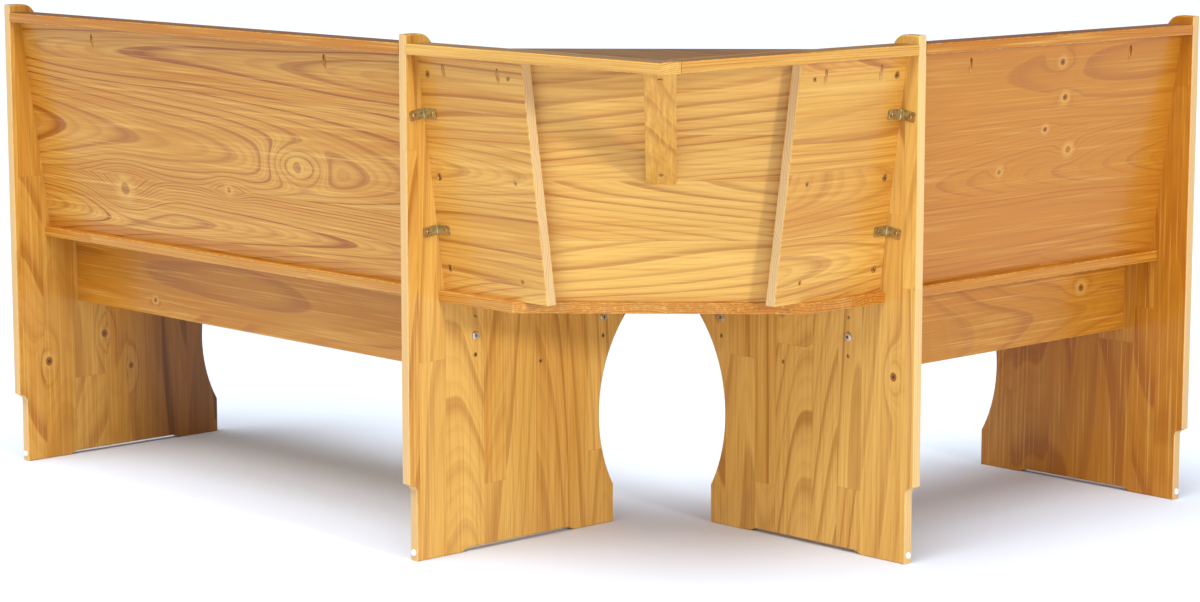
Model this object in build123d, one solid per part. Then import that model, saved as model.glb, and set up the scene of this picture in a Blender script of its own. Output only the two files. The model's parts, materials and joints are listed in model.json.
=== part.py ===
"""Corner bench set in solid pine: a long bench, a corner unit and a short bench.

The set stands in the corner of a room. Both benches are storage boxes whose seats are
hinged lids; the corner unit between them has a fixed seat, three leaning backrests and
a small shelf. Four shaped side panels carry everything.

Every piece is first modelled in a room frame: the room corner is at x = 0, depth = 0,
x runs along the long wall, depth is the distance from the long wall (depth = -Y) and
z is the height above the floor. Pieces of the short wall are the mirror image of the
same piece on the long wall, across the diagonal of the corner. The last step moves the
whole set so that the origin is at the middle of its footprint, on the floor.
"""
import os
from math import cos, hypot, radians, sin, sqrt, tan

from build123d import *

# ---------------------------------------------------------------- driving dimensions, mm
BOARD = 18.0                # thickness of every pine board but the box floors
PANEL_HEIGHT = 860.0        # side panels, floor to the top of the ear
CORNER_REACH = 576.0        # room corner to the shared side panels
LONG_REACH = 1710.0         # room corner to the inner face of the long end panel
SHORT_REACH = 1300.0        # room corner to the inner face of the short end panel

SEAT_TOP = 443.0
SEAT_FRONT = 495.0          # depth of the seats' front edge
SEAT_REAR = 65.0            # depth of the seats' rear edge
APRON_HEIGHT = 130.0
REAR_APRON_DEPTH = 135.0    # depth of the rear apron's wall-side face
FRONT_APRON_DEPTH = 425.0   # depth of the front apron's box-side face
BOX_FLOOR = 12.0            # thickness of the storage box floor

RAIL_TOP = 846.0
RAIL_WIDTH = 45.0
BACK_TOP_DEPTH = 24.0       # backrest, wall-side face, just under the rail
BACK_FOOT_DEPTH = 78.0      # backrest, wall-side face, on the seat
CORNER_BACK_END = 329.0     # free inner end of the two straight corner backrests
MIDDLE_TOP = 281.0          # diagonal backrest: distance of its rear face from the room
MIDDLE_FOOT = 335.0         # corner along the diagonal, under the shelf and on the seat
SHELF_FRONT = 300.0         # shelf's long edge, distance from the room corner
SEAT_CLIP = 327.0           # clipped rear corner of the corner seat, same measure

BRACE_WIDTH = 48.0
BRACE_TOP = 26.0            # diagonal distance of the brace's top end
BRACE_FOOT_Z = 633.0        # height at which the brace meets the diagonal backrest

LID_PLAY = 2.0              # gap between a lid's end and the side panel
HINGE_GAP = 3.0             # gap between the fixed strip and the lid
HINGE_DEPTH = 155.0         # depth of the hinge axis
HINGE_LENGTH = 60.0
KNUCKLES = 5
KNUCKLE_GAP = 0.2
BARREL_RADIUS = 3.0
PIN_RADIUS = 1.25
LEAF = 1.2                  # hinge leaf thickness
LEAF_DROP = 15.0            # height of a hinge leaf below the seat's top

EASE = 2.5                  # rounding of board edges
SNUG = 0.05                 # radial room between a fastener and its hole
DOWEL_RADIUS = 4.0
DOWEL_LENGTH = 30.0
DOWEL_IN_PANEL = 8.0        # blind depth of a dowel hole in a side panel
SYSTEM_STEP = 32.0          # spacing of the bolt and the screws beside it
BOLT_HEAD = 2.5             # how far a bolt head stands proud of its panel
BOLT_RADIUS = 3.0
BOLT_LENGTH = 55.0
NUT_RADIUS = 5.0
NUT_LENGTH = 14.0
CAM_RADIUS = 6.0
CAM_DEPTH = 12.0
CAM_INSET = 20.0            # cam centre to the end of the board
CAM_HEIGHTS = (482.0, 632.0, 798.0)
BRACKET_LEG = 31.0
BRACKET_WIDTH = 16.0
BRACKET_THICK = 2.0
BRACKET_HOLE = 22.0         # screw hole to the bend
BRACKET_HEIGHTS = (543.0, 733.0)
POCKET_ANGLE = 20.0         # pocket holes, from the board's face
POCKET_RADIUS = 4.5
POCKET_SHOULDER = 10.0      # shoulder of a pocket below the board's top edge

# ------------------------------------------------------------------------- derived sizes
SEAT_BOTTOM = SEAT_TOP - BOARD
APRON_BOTTOM = SEAT_BOTTOM - APRON_HEIGHT
APRON_MIDDLE = SEAT_BOTTOM - APRON_HEIGHT / 2
RAIL_BOTTOM = RAIL_TOP - BOARD
BENCH_NEAR = CORNER_REACH + BOARD       # benches start at the far face of the shared panel
LEAN = (BACK_FOOT_DEPTH - BACK_TOP_DEPTH) / (RAIL_BOTTOM - SEAT_TOP)
LEAN_COS = 1 / hypot(1, LEAN)
LEAN_SIN = LEAN * LEAN_COS
LEANING_BOARD = BOARD / LEAN_COS        # thickness of a leaning board, measured level
HINGE_Z = SEAT_TOP + BARREL_RADIUS + KNUCKLE_GAP
ROOT2 = sqrt(2)
TOTAL_LENGTH = LONG_REACH + BOARD + BOLT_HEAD
TOTAL_WIDTH = SHORT_REACH + BOARD + BOLT_HEAD

ACROSS_CORNER = Plane(origin=(0, 0, 0), x_dir=(0, 0, 1), z_dir=(1, 1, 0))


# ------------------------------------------------------------------------ shared helpers
def block(x_range, depth_range, z_range):
    """Square-edged board between pairs of x, depth and z."""
    size = [high - low for low, high in (x_range, depth_range, z_range)]
    middle = Pos(sum(x_range) / 2, -sum(depth_range) / 2, sum(z_range) / 2)
    return middle * Box(*size)


def extrude_along_x(outline, x_range):
    """Board with a (depth, z) outline, running along x."""
    low, high = x_range
    plane = Plane(origin=(high, 0, 0), x_dir=(0, -1, 0), z_dir=(-1, 0, 0))
    return extrude(plane * outline, amount=high - low)


def extrude_across_diagonal(outline, width):
    """Board with a (diagonal distance, z) outline, centred on the corner's diagonal."""
    middle = Plane(origin=(0, 0, 0), x_dir=(1, -1, 0), z_dir=(-1, -1, 0))
    return extrude(middle * outline, amount=width / 2, both=True)


def outline_of(*points):
    """Flat face with straight sides."""
    return make_face(Polyline(*points, close=True))


def aim(x, depth, z, dx=0.0, ddepth=0.0, dz=0.0):
    """Place of a fastener: its head sits at the point and it runs along the direction."""
    return Plane(origin=(x, -depth, z), z_dir=(dx, -ddepth, dz)).location


def copies(shape, places):
    """The same shape at each place."""
    return [place * shape for place in places]


def group(solids):
    """Several separate solids in one node."""
    return Compound(children=list(solids))


def mirrored(shapes):
    """The same shapes on the other side of the corner."""
    return [mirror(shape, about=ACROSS_CORNER) for shape in shapes]


def rod(radius, start, end):
    """Cylinder along local Z between two heights."""
    return Pos(0, 0, start) * Cylinder(radius, end - start, align=(Align.CENTER, Align.CENTER, Align.MIN))


def taper(low_radius, high_radius, start, end):
    """Cone along local Z between two heights."""
    cone = Cone(low_radius, high_radius, end - start, align=(Align.CENTER, Align.CENTER, Align.MIN))
    return Pos(0, 0, start) * cone


def cross_recess(size, depth):
    """Cross-shaped drive recess that opens at local z = 0."""
    blade = Box(size, size / 4, 2 * depth)
    return blade + Rot(0, 0, 90) * blade


def eased(board, along, radius=EASE):
    """Round the edges that run along one axis."""
    return fillet(board.edges().filter_by(along), radius)


def long_edges(board, shortest):
    """Edges of a board that are longer than `shortest`."""
    return board.edges().filter_by(lambda edge: edge.length > shortest)


def back_depth(z):
    """Depth of a straight backrest's wall-side face at a height."""
    return BACK_TOP_DEPTH + (RAIL_BOTTOM - z) * LEAN


def middle_distance(z):
    """Diagonal distance of the middle backrest's rear face at a height."""
    return MIDDLE_TOP + (RAIL_BOTTOM - z) * LEAN


# ---------------------------------------------------------------------------- fasteners
def flat_screw(radius, head_radius, length, room=0.0):
    """Countersunk wood screw; with room it is the hole that the screw sits in."""
    head = head_radius - radius
    body = taper(head_radius + room, radius + room, 0, head)
    body += rod(radius + room, head, length - 2 * radius)
    body += taper(radius + room, 0.4 + room, length - 2 * radius, length + room)
    if room:
        return body + rod(head_radius + room, -1, 0)
    return body - cross_recess(1.1 * head_radius, 0.6 * head)


def pan_screw(radius, head_radius, head_height, length, room=0.0):
    """Screw with a low round head above local z = 0; with room it is its hole."""
    body = rod(radius + room, 0, length - 2 * radius)
    body += taper(radius + room, 0.4 + room, length - 2 * radius, length + room)
    if room:
        return body
    head = fillet(rod(head_radius, -head_height, 0).edges().sort_by(Axis.Z)[0], 0.6 * head_height)
    recess = Pos(0, 0, -head_height) * cross_recess(head_radius, 0.4 * head_height)
    return body + head - recess


def connector_bolt():
    """Furniture bolt with a wide flat head and a hexagon socket."""
    head = rod(7.5, -BOLT_HEAD, 0)
    head = fillet(head.edges().sort_by(Axis.Z)[0], 1.2)
    socket = extrude(Pos(0, 0, -BOLT_HEAD) * RegularPolygon(2.4, 6), amount=1.9)
    return head + rod(BOLT_RADIUS, 0, BOLT_LENGTH) - socket


def barrel_nut():
    """Cross dowel nut along local Z, with the bolt's hole through its middle."""
    nut = rod(NUT_RADIUS, -NUT_LENGTH / 2, NUT_LENGTH / 2)
    slot = Pos(0, 0, NUT_LENGTH / 2) * Box(2 * NUT_RADIUS, 1.2, 2.0)
    bolt_hole = Rot(0, 90, 0) * rod(BOLT_RADIUS + SNUG, -2 * NUT_RADIUS, 2 * NUT_RADIUS)
    return nut - slot - bolt_hole


def cam_housing():
    """Cam lock, flush with the board's face, with the bolt's blind hole in its side."""
    housing = rod(CAM_RADIUS, 0, CAM_DEPTH - 0.5)
    bolt_hole = Pos(0, 0, BOARD / 2) * Rot(0, 90, 0) * rod(2.5 + SNUG, 0, 2 * CAM_RADIUS)
    return housing - bolt_hole - cross_recess(7.0, 1.2)


SCREW = (2.0, 4.0)                      # radius and head radius of the wood screws
LONG_SCREW = 50.0
FLOOR_SCREW = 45.0
CORNER_SCREW = 40.0
BRACE_SCREW = 36.0
TOP_BRACE_SCREW = 22.0
HINGE_SCREW = (1.5, 3.0, 20.0)
PAN_SCREW = (1.75, 3.6, 2.0)            # radius, head radius and head height
BRACKET_SCREW_LENGTH = 14.0
POCKET_SCREW_LENGTH = POCKET_SHOULDER + 14.0
CAM_BOLT_IN_PANEL = 11.0


def dowel(room=0.0):
    """Wooden dowel along local Z; with room it is its hole."""
    return rod(DOWEL_RADIUS + room, -room, DOWEL_LENGTH + room)


# --------------------------------------------------------------------------- side panels
def side_panel_outline():
    """Side panel in (depth, z): feet, skirting notch, waisted front, sweep and ear."""
    foot_front = 458.0
    foot_height = 66.0
    waist = 425.0
    waist_radius = 255.0
    arch = 6.0
    notch = 16.0
    nose_radius = 50.0
    ear_radius = 28.0
    upright = 58.0
    waist_centre_x = waist + waist_radius
    waist_centre_z = foot_height + sqrt(waist_radius ** 2 - (waist_centre_x - foot_front) ** 2)
    turn = waist_radius / ROOT2         # the waist curve ends where it leans at 45 degrees
    nose_start = (waist_centre_x - turn, waist_centre_z + turn)
    nose_centre_x = nose_start[0] - nose_radius / ROOT2
    nose_centre_z = nose_start[1] + nose_radius / ROOT2
    nose_top = (nose_centre_x, nose_centre_z + nose_radius)
    sweep_radius = 322.0
    sweep_start = (upright + sweep_radius, nose_top[1])
    sweep_end = (upright, nose_top[1] + sweep_radius)
    sweep_middle = (sweep_start[0] - sweep_radius / ROOT2, sweep_end[1] - sweep_radius / ROOT2)
    ear_start = (upright, PANEL_HEIGHT - ear_radius)
    ear_end = (upright - ear_radius, PANEL_HEIGHT)
    ear_middle = (upright - ear_radius * (1 - 1 / ROOT2), PANEL_HEIGHT - ear_radius * (1 - 1 / ROOT2))
    edges = [
        Line((notch, 0), (107, 0)),
        Bezier((107, 0), (119, 0), (119, arch), (131, arch)),
        Line((131, arch), (347, arch)),
        Bezier((347, arch), (359, arch), (359, 0), (371, 0)),
        Line((371, 0), (foot_front, 0)),
        Line((foot_front, 0), (foot_front, foot_height)),
        ThreePointArc((foot_front, foot_height), (waist, waist_centre_z), nose_start),
        ThreePointArc(nose_start, (nose_centre_x + nose_radius, nose_centre_z), nose_top),
        Line(nose_top, sweep_start),
        ThreePointArc(sweep_start, sweep_middle, sweep_end),
        Line(sweep_end, ear_start),
        ThreePointArc(ear_start, ear_middle, ear_end),
        Line(ear_end, (0, PANEL_HEIGHT)),
        Line((0, PANEL_HEIGHT), (0, 130)),
        Line((0, 130), (9, 125.5)),
        ThreePointArc((9, 125.5), (14.2, 121.3), (notch, 114)),
        Line((notch, 114), (notch, 0)),
    ]
    return make_face(Wire(edges))


def side_panel(x, cutters):
    """Side panel from x to x + BOARD, with its outline rounded over on both faces."""
    panel = extrude_along_x(side_panel_outline(), (x, x + BOARD))
    rims = [edge for face in panel.faces().filter_by(Axis.X) for edge in face.edges()]
    return fillet(rims, EASE) - cutters


def glide():
    """White plastic disc pinned to the rear of a foot, with its pin along local Z."""
    disc = fillet(rod(5.5, -2, 0).edges().sort_by(Axis.Z)[0], 0.8)
    return disc + rod(2, 0, 10)


def glide_place(x):
    return aim(x + BOARD / 2, 16, 14, ddepth=1)


# -------------------------------------------------------------------------------- bench
class Bench:
    """One storage bench along the long wall, from BENCH_NEAR to `far`."""

    def __init__(self, far, hinges):
        self.near = BENCH_NEAR
        self.far = far
        self.clear = far - BENCH_NEAR
        first = self.near + 0.13 * self.clear
        step = 0.74 * self.clear / (hinges - 1)
        self.hinge_middles = [first + index * step for index in range(hinges)]
        self.pocket_x = [self.near + 0.2 * self.clear, self.far - 0.2 * self.clear]

    def ends(self):
        """Outer face of the panel at each end, and the direction into the bench."""
        return ((self.near - BOARD, 1), (self.far + BOARD, -1))

    # places of the fasteners
    def bolt_places(self, depth):
        return [aim(x, depth, APRON_MIDDLE, dx=turn) for x, turn in self.ends()]

    def screw_places(self, depth):
        heights = (APRON_MIDDLE - SYSTEM_STEP, APRON_MIDDLE + SYSTEM_STEP)
        return [aim(x, depth, z, dx=turn) for x, turn in self.ends() for z in heights]

    def floor_screw_places(self):
        depth = (REAR_APRON_DEPTH + BOARD + FRONT_APRON_DEPTH) / 2
        return [aim(x, depth, APRON_BOTTOM + BOX_FLOOR / 2, dx=turn) for x, turn in self.ends()]

    def nut_places(self, depth, inward):
        """Cross dowel nuts, slot towards the inside of the box, hole along the bolt."""
        places = []
        for x, turn in self.ends():
            middle = (x + turn * (BOARD + SYSTEM_STEP), -depth, APRON_MIDDLE)
            places.append(Plane(origin=middle, x_dir=(1, 0, 0), z_dir=(0, -inward, 0)).location)
        return places

    def apron_middles(self):
        """Middle depth of each apron and the direction from it into the box."""
        return ((REAR_APRON_DEPTH + BOARD / 2, 1), (FRONT_APRON_DEPTH + BOARD / 2, -1))

    def end_dowels(self, depth, z):
        start = BOARD - DOWEL_IN_PANEL
        return [aim(x + turn * start, depth, z, dx=turn) for x, turn in self.ends()]

    def rail_dowels(self):
        return self.end_dowels(RAIL_WIDTH / 2, RAIL_TOP - BOARD / 2)

    def back_dowels(self):
        places = []
        for z in (560, 715):
            places += self.end_dowels(back_depth(z) + LEANING_BOARD / 2, z)
        return places

    def strip_dowels(self):
        return self.end_dowels(110, SEAT_TOP - BOARD / 2)

    def back_foot_dowels(self):
        middle = BACK_FOOT_DEPTH + LEANING_BOARD / 2
        reach = [0.15, 0.5, 0.85]
        return [aim(self.near + part * self.clear, middle, SEAT_TOP - 12, dz=1) for part in reach]

    def strip_apron_dowels(self):
        middle = REAR_APRON_DEPTH + BOARD / 2
        reach = [0.05, 0.35, 0.65, 0.95]
        return [aim(self.near + part * self.clear, middle, SEAT_TOP - 4, dz=-1) for part in reach]

    def floor_dowels(self):
        places = []
        for part in (0.12, 0.37, 0.63, 0.88):
            x = self.near + part * self.clear
            z = APRON_BOTTOM + BOX_FLOOR / 2
            places.append(aim(x, REAR_APRON_DEPTH + BOARD - 10, z, ddepth=1))
            places.append(aim(x, FRONT_APRON_DEPTH + 10, z, ddepth=-1))
        return places

    def pocket_places(self):
        return [pocket_place(x) for x in self.pocket_x]

    # cutters shared by a piece and its neighbours
    def end_cutters(self):
        """Everything that is drilled into the two side panels for this bench."""
        bolt_hole = rod(BOLT_RADIUS + 0.25, -1, BOLT_LENGTH + 1)
        cutters = []
        for depth, _ in self.apron_middles():
            cutters += copies(bolt_hole, self.bolt_places(depth))
            cutters += copies(flat_screw(*SCREW, LONG_SCREW, SNUG), self.screw_places(depth))
        cutters += copies(flat_screw(*SCREW, FLOOR_SCREW, SNUG), self.floor_screw_places())
        panel_dowels = self.rail_dowels() + self.back_dowels() + self.strip_dowels()
        return cutters + copies(dowel(SNUG), panel_dowels)

    # pieces
    def rail(self):
        board = block((self.near, self.far), (0, RAIL_WIDTH), (RAIL_BOTTOM, RAIL_TOP))
        cutters = copies(dowel(SNUG), self.rail_dowels()) + pocket_screw_holes(self.pocket_places())
        return eased(board, Axis.X) - cutters

    def backrest(self):
        board = extrude_along_x(backrest_outline(), (self.near, self.far))
        cutters = copies(dowel(SNUG), self.back_dowels() + self.back_foot_dowels())
        return board - cutters - pocket_cutters(self.pocket_places())

    def seat_strip(self):
        front = HINGE_DEPTH - HINGE_GAP / 2
        board = block((self.near, self.far), (SEAT_REAR, front), (SEAT_BOTTOM, SEAT_TOP))
        rear = board.edges().filter_by(Axis.X).sort_by(Axis.Y)[-2:]
        dowels = self.strip_dowels() + self.back_foot_dowels() + self.strip_apron_dowels()
        cutters = copies(dowel(SNUG), dowels)
        cutters += copies(flat_screw(*HINGE_SCREW, SNUG), self.hinge_screw_places(-1))
        return fillet(rear, EASE) - cutters

    def seat_lid(self):
        rear = HINGE_DEPTH + HINGE_GAP / 2
        ends = (self.near + LID_PLAY, self.far - LID_PLAY)
        board = block(ends, (rear, SEAT_FRONT), (SEAT_BOTTOM, SEAT_TOP))
        front = board.edges().filter_by(Axis.X).sort_by(Axis.Y)[:2]
        board = fillet(front, 6)
        return board - copies(flat_screw(*HINGE_SCREW, SNUG), self.hinge_screw_places(1))

    def apron(self, depth, inward):
        board = block((self.near, self.far), (depth - BOARD / 2, depth + BOARD / 2), (APRON_BOTTOM, SEAT_BOTTOM))
        lower = board.edges().filter_by(Axis.X).sort_by(Axis.Z)[:2]
        board = fillet(lower, EASE)
        cutters = copies(rod(BOLT_RADIUS + 0.25, -1, BOLT_LENGTH + 1), self.bolt_places(depth))
        nut_pocket = rod(NUT_RADIUS + SNUG, -NUT_LENGTH / 2 - 0.2, BOARD)
        cutters += copies(nut_pocket, self.nut_places(depth, inward))
        cutters += copies(flat_screw(*SCREW, LONG_SCREW, SNUG), self.screw_places(depth))
        cutters += copies(dowel(SNUG), self.floor_dowels() + self.strip_apron_dowels())
        return board - cutters

    def box_floor(self):
        depths = (REAR_APRON_DEPTH + BOARD, FRONT_APRON_DEPTH)
        board = block((self.near, self.far), depths, (APRON_BOTTOM, APRON_BOTTOM + BOX_FLOOR))
        cutters = copies(flat_screw(*SCREW, FLOOR_SCREW, SNUG), self.floor_screw_places())
        return board - cutters - copies(dowel(SNUG), self.floor_dowels())

    # hinges
    def hinge_screw_places(self, side):
        """Screws of one hinge leaf; side is -1 for the fixed strip and 1 for the lid."""
        depth = HINGE_DEPTH + side * (HINGE_GAP / 2 - LEAF)
        z = SEAT_TOP - LEAF_DROP / 2
        reach = 0.3 * HINGE_LENGTH
        return [aim(x + shift, depth, z, ddepth=side)
                for x in self.hinge_middles for shift in (-reach, reach)]

    def hinge_leaves(self, side):
        cutters = copies(flat_screw(*HINGE_SCREW, SNUG), self.hinge_screw_places(side))
        return group(hinge_leaf(x, side) - cutters for x in self.hinge_middles)

    def hinge_pins(self):
        pin = rod(PIN_RADIUS, -HINGE_LENGTH / 2, HINGE_LENGTH / 2)
        return group(copies(pin, [aim(x, HINGE_DEPTH, HINGE_Z, dx=1) for x in self.hinge_middles]))

    def nodes(self):
        """Every piece of the bench but its side panels."""
        bolts, nuts, screws = [], [], []
        for depth, inward in self.apron_middles():
            bolts += copies(connector_bolt(), self.bolt_places(depth))
            nuts += copies(barrel_nut(), self.nut_places(depth, inward))
            screws += copies(flat_screw(*SCREW, LONG_SCREW), self.screw_places(depth))
        dowels = self.rail_dowels() + self.back_dowels() + self.strip_dowels()
        dowels += self.back_foot_dowels() + self.strip_apron_dowels() + self.floor_dowels()
        (rear, rear_inward), (front, front_inward) = self.apron_middles()
        hinge_screw = flat_screw(*HINGE_SCREW)
        return {
            "top_rail": self.rail(),
            "backrest": self.backrest(),
            "seat_strip": self.seat_strip(),
            "seat_lid": self.seat_lid(),
            "rear_apron": self.apron(rear, rear_inward),
            "front_apron": self.apron(front, front_inward),
            "box_floor": self.box_floor(),
            "hinge_fixed_leaves": self.hinge_leaves(-1),
            "hinge_lid_leaves": self.hinge_leaves(1),
            "hinge_pins": self.hinge_pins(),
            "hinge_strip_screws": group(copies(hinge_screw, self.hinge_screw_places(-1))),
            "hinge_lid_screws": group(copies(hinge_screw, self.hinge_screw_places(1))),
            "apron_bolts": group(bolts),
            "apron_barrel_nuts": group(nuts),
            "apron_screws": group(screws),
            "floor_screws": group(copies(flat_screw(*SCREW, FLOOR_SCREW), self.floor_screw_places())),
            "rail_pocket_screws": group(copies(pocket_screw(), self.pocket_places())),
            "dowels": group(copies(dowel(), dowels)),
        }


def hinge_leaf(x, side):
    """One butt hinge leaf folded down into the gap, with its share of the knuckles."""
    half = HINGE_LENGTH / 2
    plate_depths = sorted((HINGE_DEPTH + side * HINGE_GAP / 2, HINGE_DEPTH + side * (HINGE_GAP / 2 - LEAF)))
    leaf = block((x - half, x + half), plate_depths, (SEAT_TOP - LEAF_DROP, SEAT_TOP))
    pitch = HINGE_LENGTH / KNUCKLES
    first = 0 if side < 0 else 1
    axis = aim(0, HINGE_DEPTH, HINGE_Z, dx=1)
    for index in range(first, KNUCKLES, 2):
        low = x - half + index * pitch + KNUCKLE_GAP / 2
        high = low + pitch - KNUCKLE_GAP
        leaf += axis * rod(BARREL_RADIUS, low, high)
        leaf += block((low, high), plate_depths, (SEAT_TOP, HINGE_Z))
    return leaf - axis * rod(PIN_RADIUS + SNUG, x - half, x + half)


def backrest_outline():
    """Leaning board in (depth, z), cut level on the seat and under the rail."""
    return outline_of(
        (BACK_FOOT_DEPTH, SEAT_TOP),
        (BACK_FOOT_DEPTH + LEANING_BOARD, SEAT_TOP),
        (BACK_TOP_DEPTH + LEANING_BOARD, RAIL_BOTTOM),
        (BACK_TOP_DEPTH, RAIL_BOTTOM),
    )


# ------------------------------------------------------------------------- pocket screws
def pocket_direction():
    """Unit (depth, z) direction of a pocket screw, up through the board's top edge."""
    turn = radians(POCKET_ANGLE)
    depth = -LEAN_SIN * cos(turn) + LEAN_COS * sin(turn)
    height = LEAN_COS * cos(turn) + LEAN_SIN * sin(turn)
    return depth, height


def pocket_place(x):
    """Seat of a pocket screw's head, on the shoulder at the top of its pocket."""
    depth_step, height_step = pocket_direction()
    depth = BACK_TOP_DEPTH + LEANING_BOARD / 2 - POCKET_SHOULDER * depth_step
    return aim(x, depth, RAIL_BOTTOM - POCKET_SHOULDER * height_step, ddepth=depth_step, dz=height_step)


def pocket_screw():
    return pan_screw(*PAN_SCREW, POCKET_SCREW_LENGTH)


def pocket_screw_holes(places):
    return copies(pan_screw(*PAN_SCREW, POCKET_SCREW_LENGTH, SNUG), places)


def pocket_cutters(places):
    """Slanted pocket that opens on the wall side, with the screw's own hole."""
    return copies(rod(POCKET_RADIUS, -45, 0), places) + pocket_screw_holes(places)


# -------------------------------------------------------------------------- corner unit
def corner_pocket_places():
    return [pocket_place(x) for x in (CORNER_REACH - 59, CORNER_BACK_END + 59)]


def corner_rail_dowel():
    """Dowel from the shared panel into a corner rail."""
    return [aim(CORNER_REACH + DOWEL_IN_PANEL, RAIL_WIDTH / 2, RAIL_TOP - BOARD / 2, dx=-1)]


def shelf_dowels():
    """Dowels from a corner rail into the shelf."""
    return [aim(x, RAIL_WIDTH - 15, RAIL_TOP - BOARD / 2, ddepth=1) for x in (150, 300)]


def rail_butt_dowel():
    """Dowel from the long-wall corner rail into the end of the short-wall one."""
    return [aim(RAIL_WIDTH / 2, RAIL_WIDTH - 15, RAIL_TOP - BOARD / 2, ddepth=1)]


def top_brace_screw_place():
    distance = BRACE_TOP + 14
    return aim(distance / ROOT2, distance / ROOT2, brace_face_z(distance), dz=1)


def corner_rail_left():
    """Rail on the long wall; it runs right into the room corner."""
    board = block((0, CORNER_REACH), (0, RAIL_WIDTH), (RAIL_BOTTOM, RAIL_TOP))
    end = board.edges().filter_by(Axis.Z).sort_by(Axis.X)[:1]
    board = fillet(board.edges().filter_by(Axis.X) + end, EASE)
    dowels = corner_rail_dowel() + shelf_dowels() + rail_butt_dowel()
    cutters = copies(dowel(SNUG), dowels) + pocket_screw_holes(corner_pocket_places())
    cutters += copies(top_brace_hole(), [top_brace_screw_place()])
    return board - cutters


def corner_rail_right():
    """Rail on the short wall; it butts against the other rail's inner edge."""
    board = block((RAIL_WIDTH, CORNER_REACH), (0, RAIL_WIDTH), (RAIL_BOTTOM, RAIL_TOP))
    cutters = copies(dowel(SNUG), corner_rail_dowel() + shelf_dowels())
    cutters += pocket_screw_holes(corner_pocket_places())
    board = mirror(eased(board, Axis.X) - cutters, about=ACROSS_CORNER)
    return board - copies(dowel(SNUG), rail_butt_dowel())


def corner_shelf():
    """Three-cornered shelf between the two rails."""
    side = SHELF_FRONT * ROOT2 - RAIL_WIDTH
    triangle = outline_of((RAIL_WIDTH, -RAIL_WIDTH), (side, -RAIL_WIDTH), (RAIL_WIDTH, -side))
    board = extrude(Pos(0, 0, RAIL_BOTTOM) * triangle, amount=BOARD)
    front = board.edges().filter_by(Plane.XY).sort_by(Axis((0, 0, 0), (1, -1, 0)))[-2:]
    holes = copies(dowel(SNUG), shelf_dowels())
    return fillet(front, EASE) - holes - mirrored(holes)


def cam_bolt_places():
    places = []
    for z in CAM_HEIGHTS:
        depth = back_depth(z) + LEANING_BOARD / 2
        places.append(aim(CORNER_REACH + CAM_BOLT_IN_PANEL, depth, z, dx=-1))
    return places


def cam_bolt(room=0.0):
    return rod(2.5 + room, -room, CAM_BOLT_IN_PANEL + CAM_INSET + room)


def cam_places():
    """Cams in the wall-side face, turned so that their hole faces the panel."""
    places = []
    for z in CAM_HEIGHTS:
        depth = back_depth(z) + LEANING_BOARD / 2 - LEAN_COS * BOARD / 2
        origin = (CORNER_REACH - CAM_INSET, -depth, z - LEAN_SIN * BOARD / 2)
        face = Plane(origin=origin, x_dir=(1, 0, 0), z_dir=(0, -LEAN_COS, LEAN_SIN))
        places.append(face.location)
    return places


def corner_back_screw_places():
    """Screws through a straight corner backrest into the diagonal backrest's end."""
    slant = radians(15)
    places = []
    for z in (476, 635, 800):
        far_face = back_depth(z) + LEANING_BOARD
        band = middle_distance(z) * ROOT2 + LEANING_BOARD / ROOT2
        x = band - far_face - 6
        into = (-sin(slant), cos(slant) * LEAN_COS, cos(slant) * LEAN_SIN)
        places.append(aim(x, back_depth(z), z, *into))
    return places


def bracket_places():
    """Angle brackets in the rear angle between the shared panel and the backrest."""
    places = []
    for z in BRACKET_HEIGHTS:
        corner = (CORNER_REACH, -back_depth(z), z)
        places.append(Plane(origin=corner, x_dir=(-1, 0, 0), z_dir=(0, LEAN_SIN, LEAN_COS)).location)
    return places


def angle_bracket():
    """Bent steel bracket: one leg along local x on the board, one along local -y."""
    half = BRACKET_WIDTH / 2
    on_board = Pos(BRACKET_LEG / 2, -BRACKET_THICK / 2) * Box(BRACKET_LEG, BRACKET_THICK, 2 * half)
    on_panel = Pos(BRACKET_THICK / 2, -BRACKET_LEG / 2) * Box(BRACKET_THICK, BRACKET_LEG, 2 * half)
    bracket = on_board + on_panel
    tips = bracket.edges().filter_by(Axis.Y).sort_by(Axis.X)[-2:]
    tips += bracket.edges().filter_by(Axis.X).sort_by(Axis.Y)[:2]
    bracket = fillet(tips, 3)
    inner = bracket.edges().filter_by(Axis.Z).sort_by(Axis((0, 0, 0), (1, -1, 0)))
    bend = [edge for edge in inner if hypot(edge.center().X - BRACKET_THICK, edge.center().Y + BRACKET_THICK) < 0.1]
    bracket = fillet(bend, 1.5)
    return bracket - copies(rod(1.75 + SNUG, -BRACKET_THICK, 9), bracket_screw_seats())


def bracket_screw_seats():
    """Places of the two screws on a bracket's legs, in the bracket's own frame."""
    on_board = Plane(origin=(BRACKET_HOLE, -BRACKET_THICK, 0), z_dir=(0, 1, 0)).location
    on_panel = Plane(origin=(BRACKET_THICK, -BRACKET_HOLE, 0), z_dir=(-1, 0, 0)).location
    return [on_board, on_panel]


def bracket_screw_places():
    return [place * seat for place in bracket_places() for seat in bracket_screw_seats()]


def back_foot_dowels_corner():
    middle = BACK_FOOT_DEPTH + LEANING_BOARD / 2
    return [aim(x, middle, SEAT_TOP - 12, dz=1) for x in (430, 520)]


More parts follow.
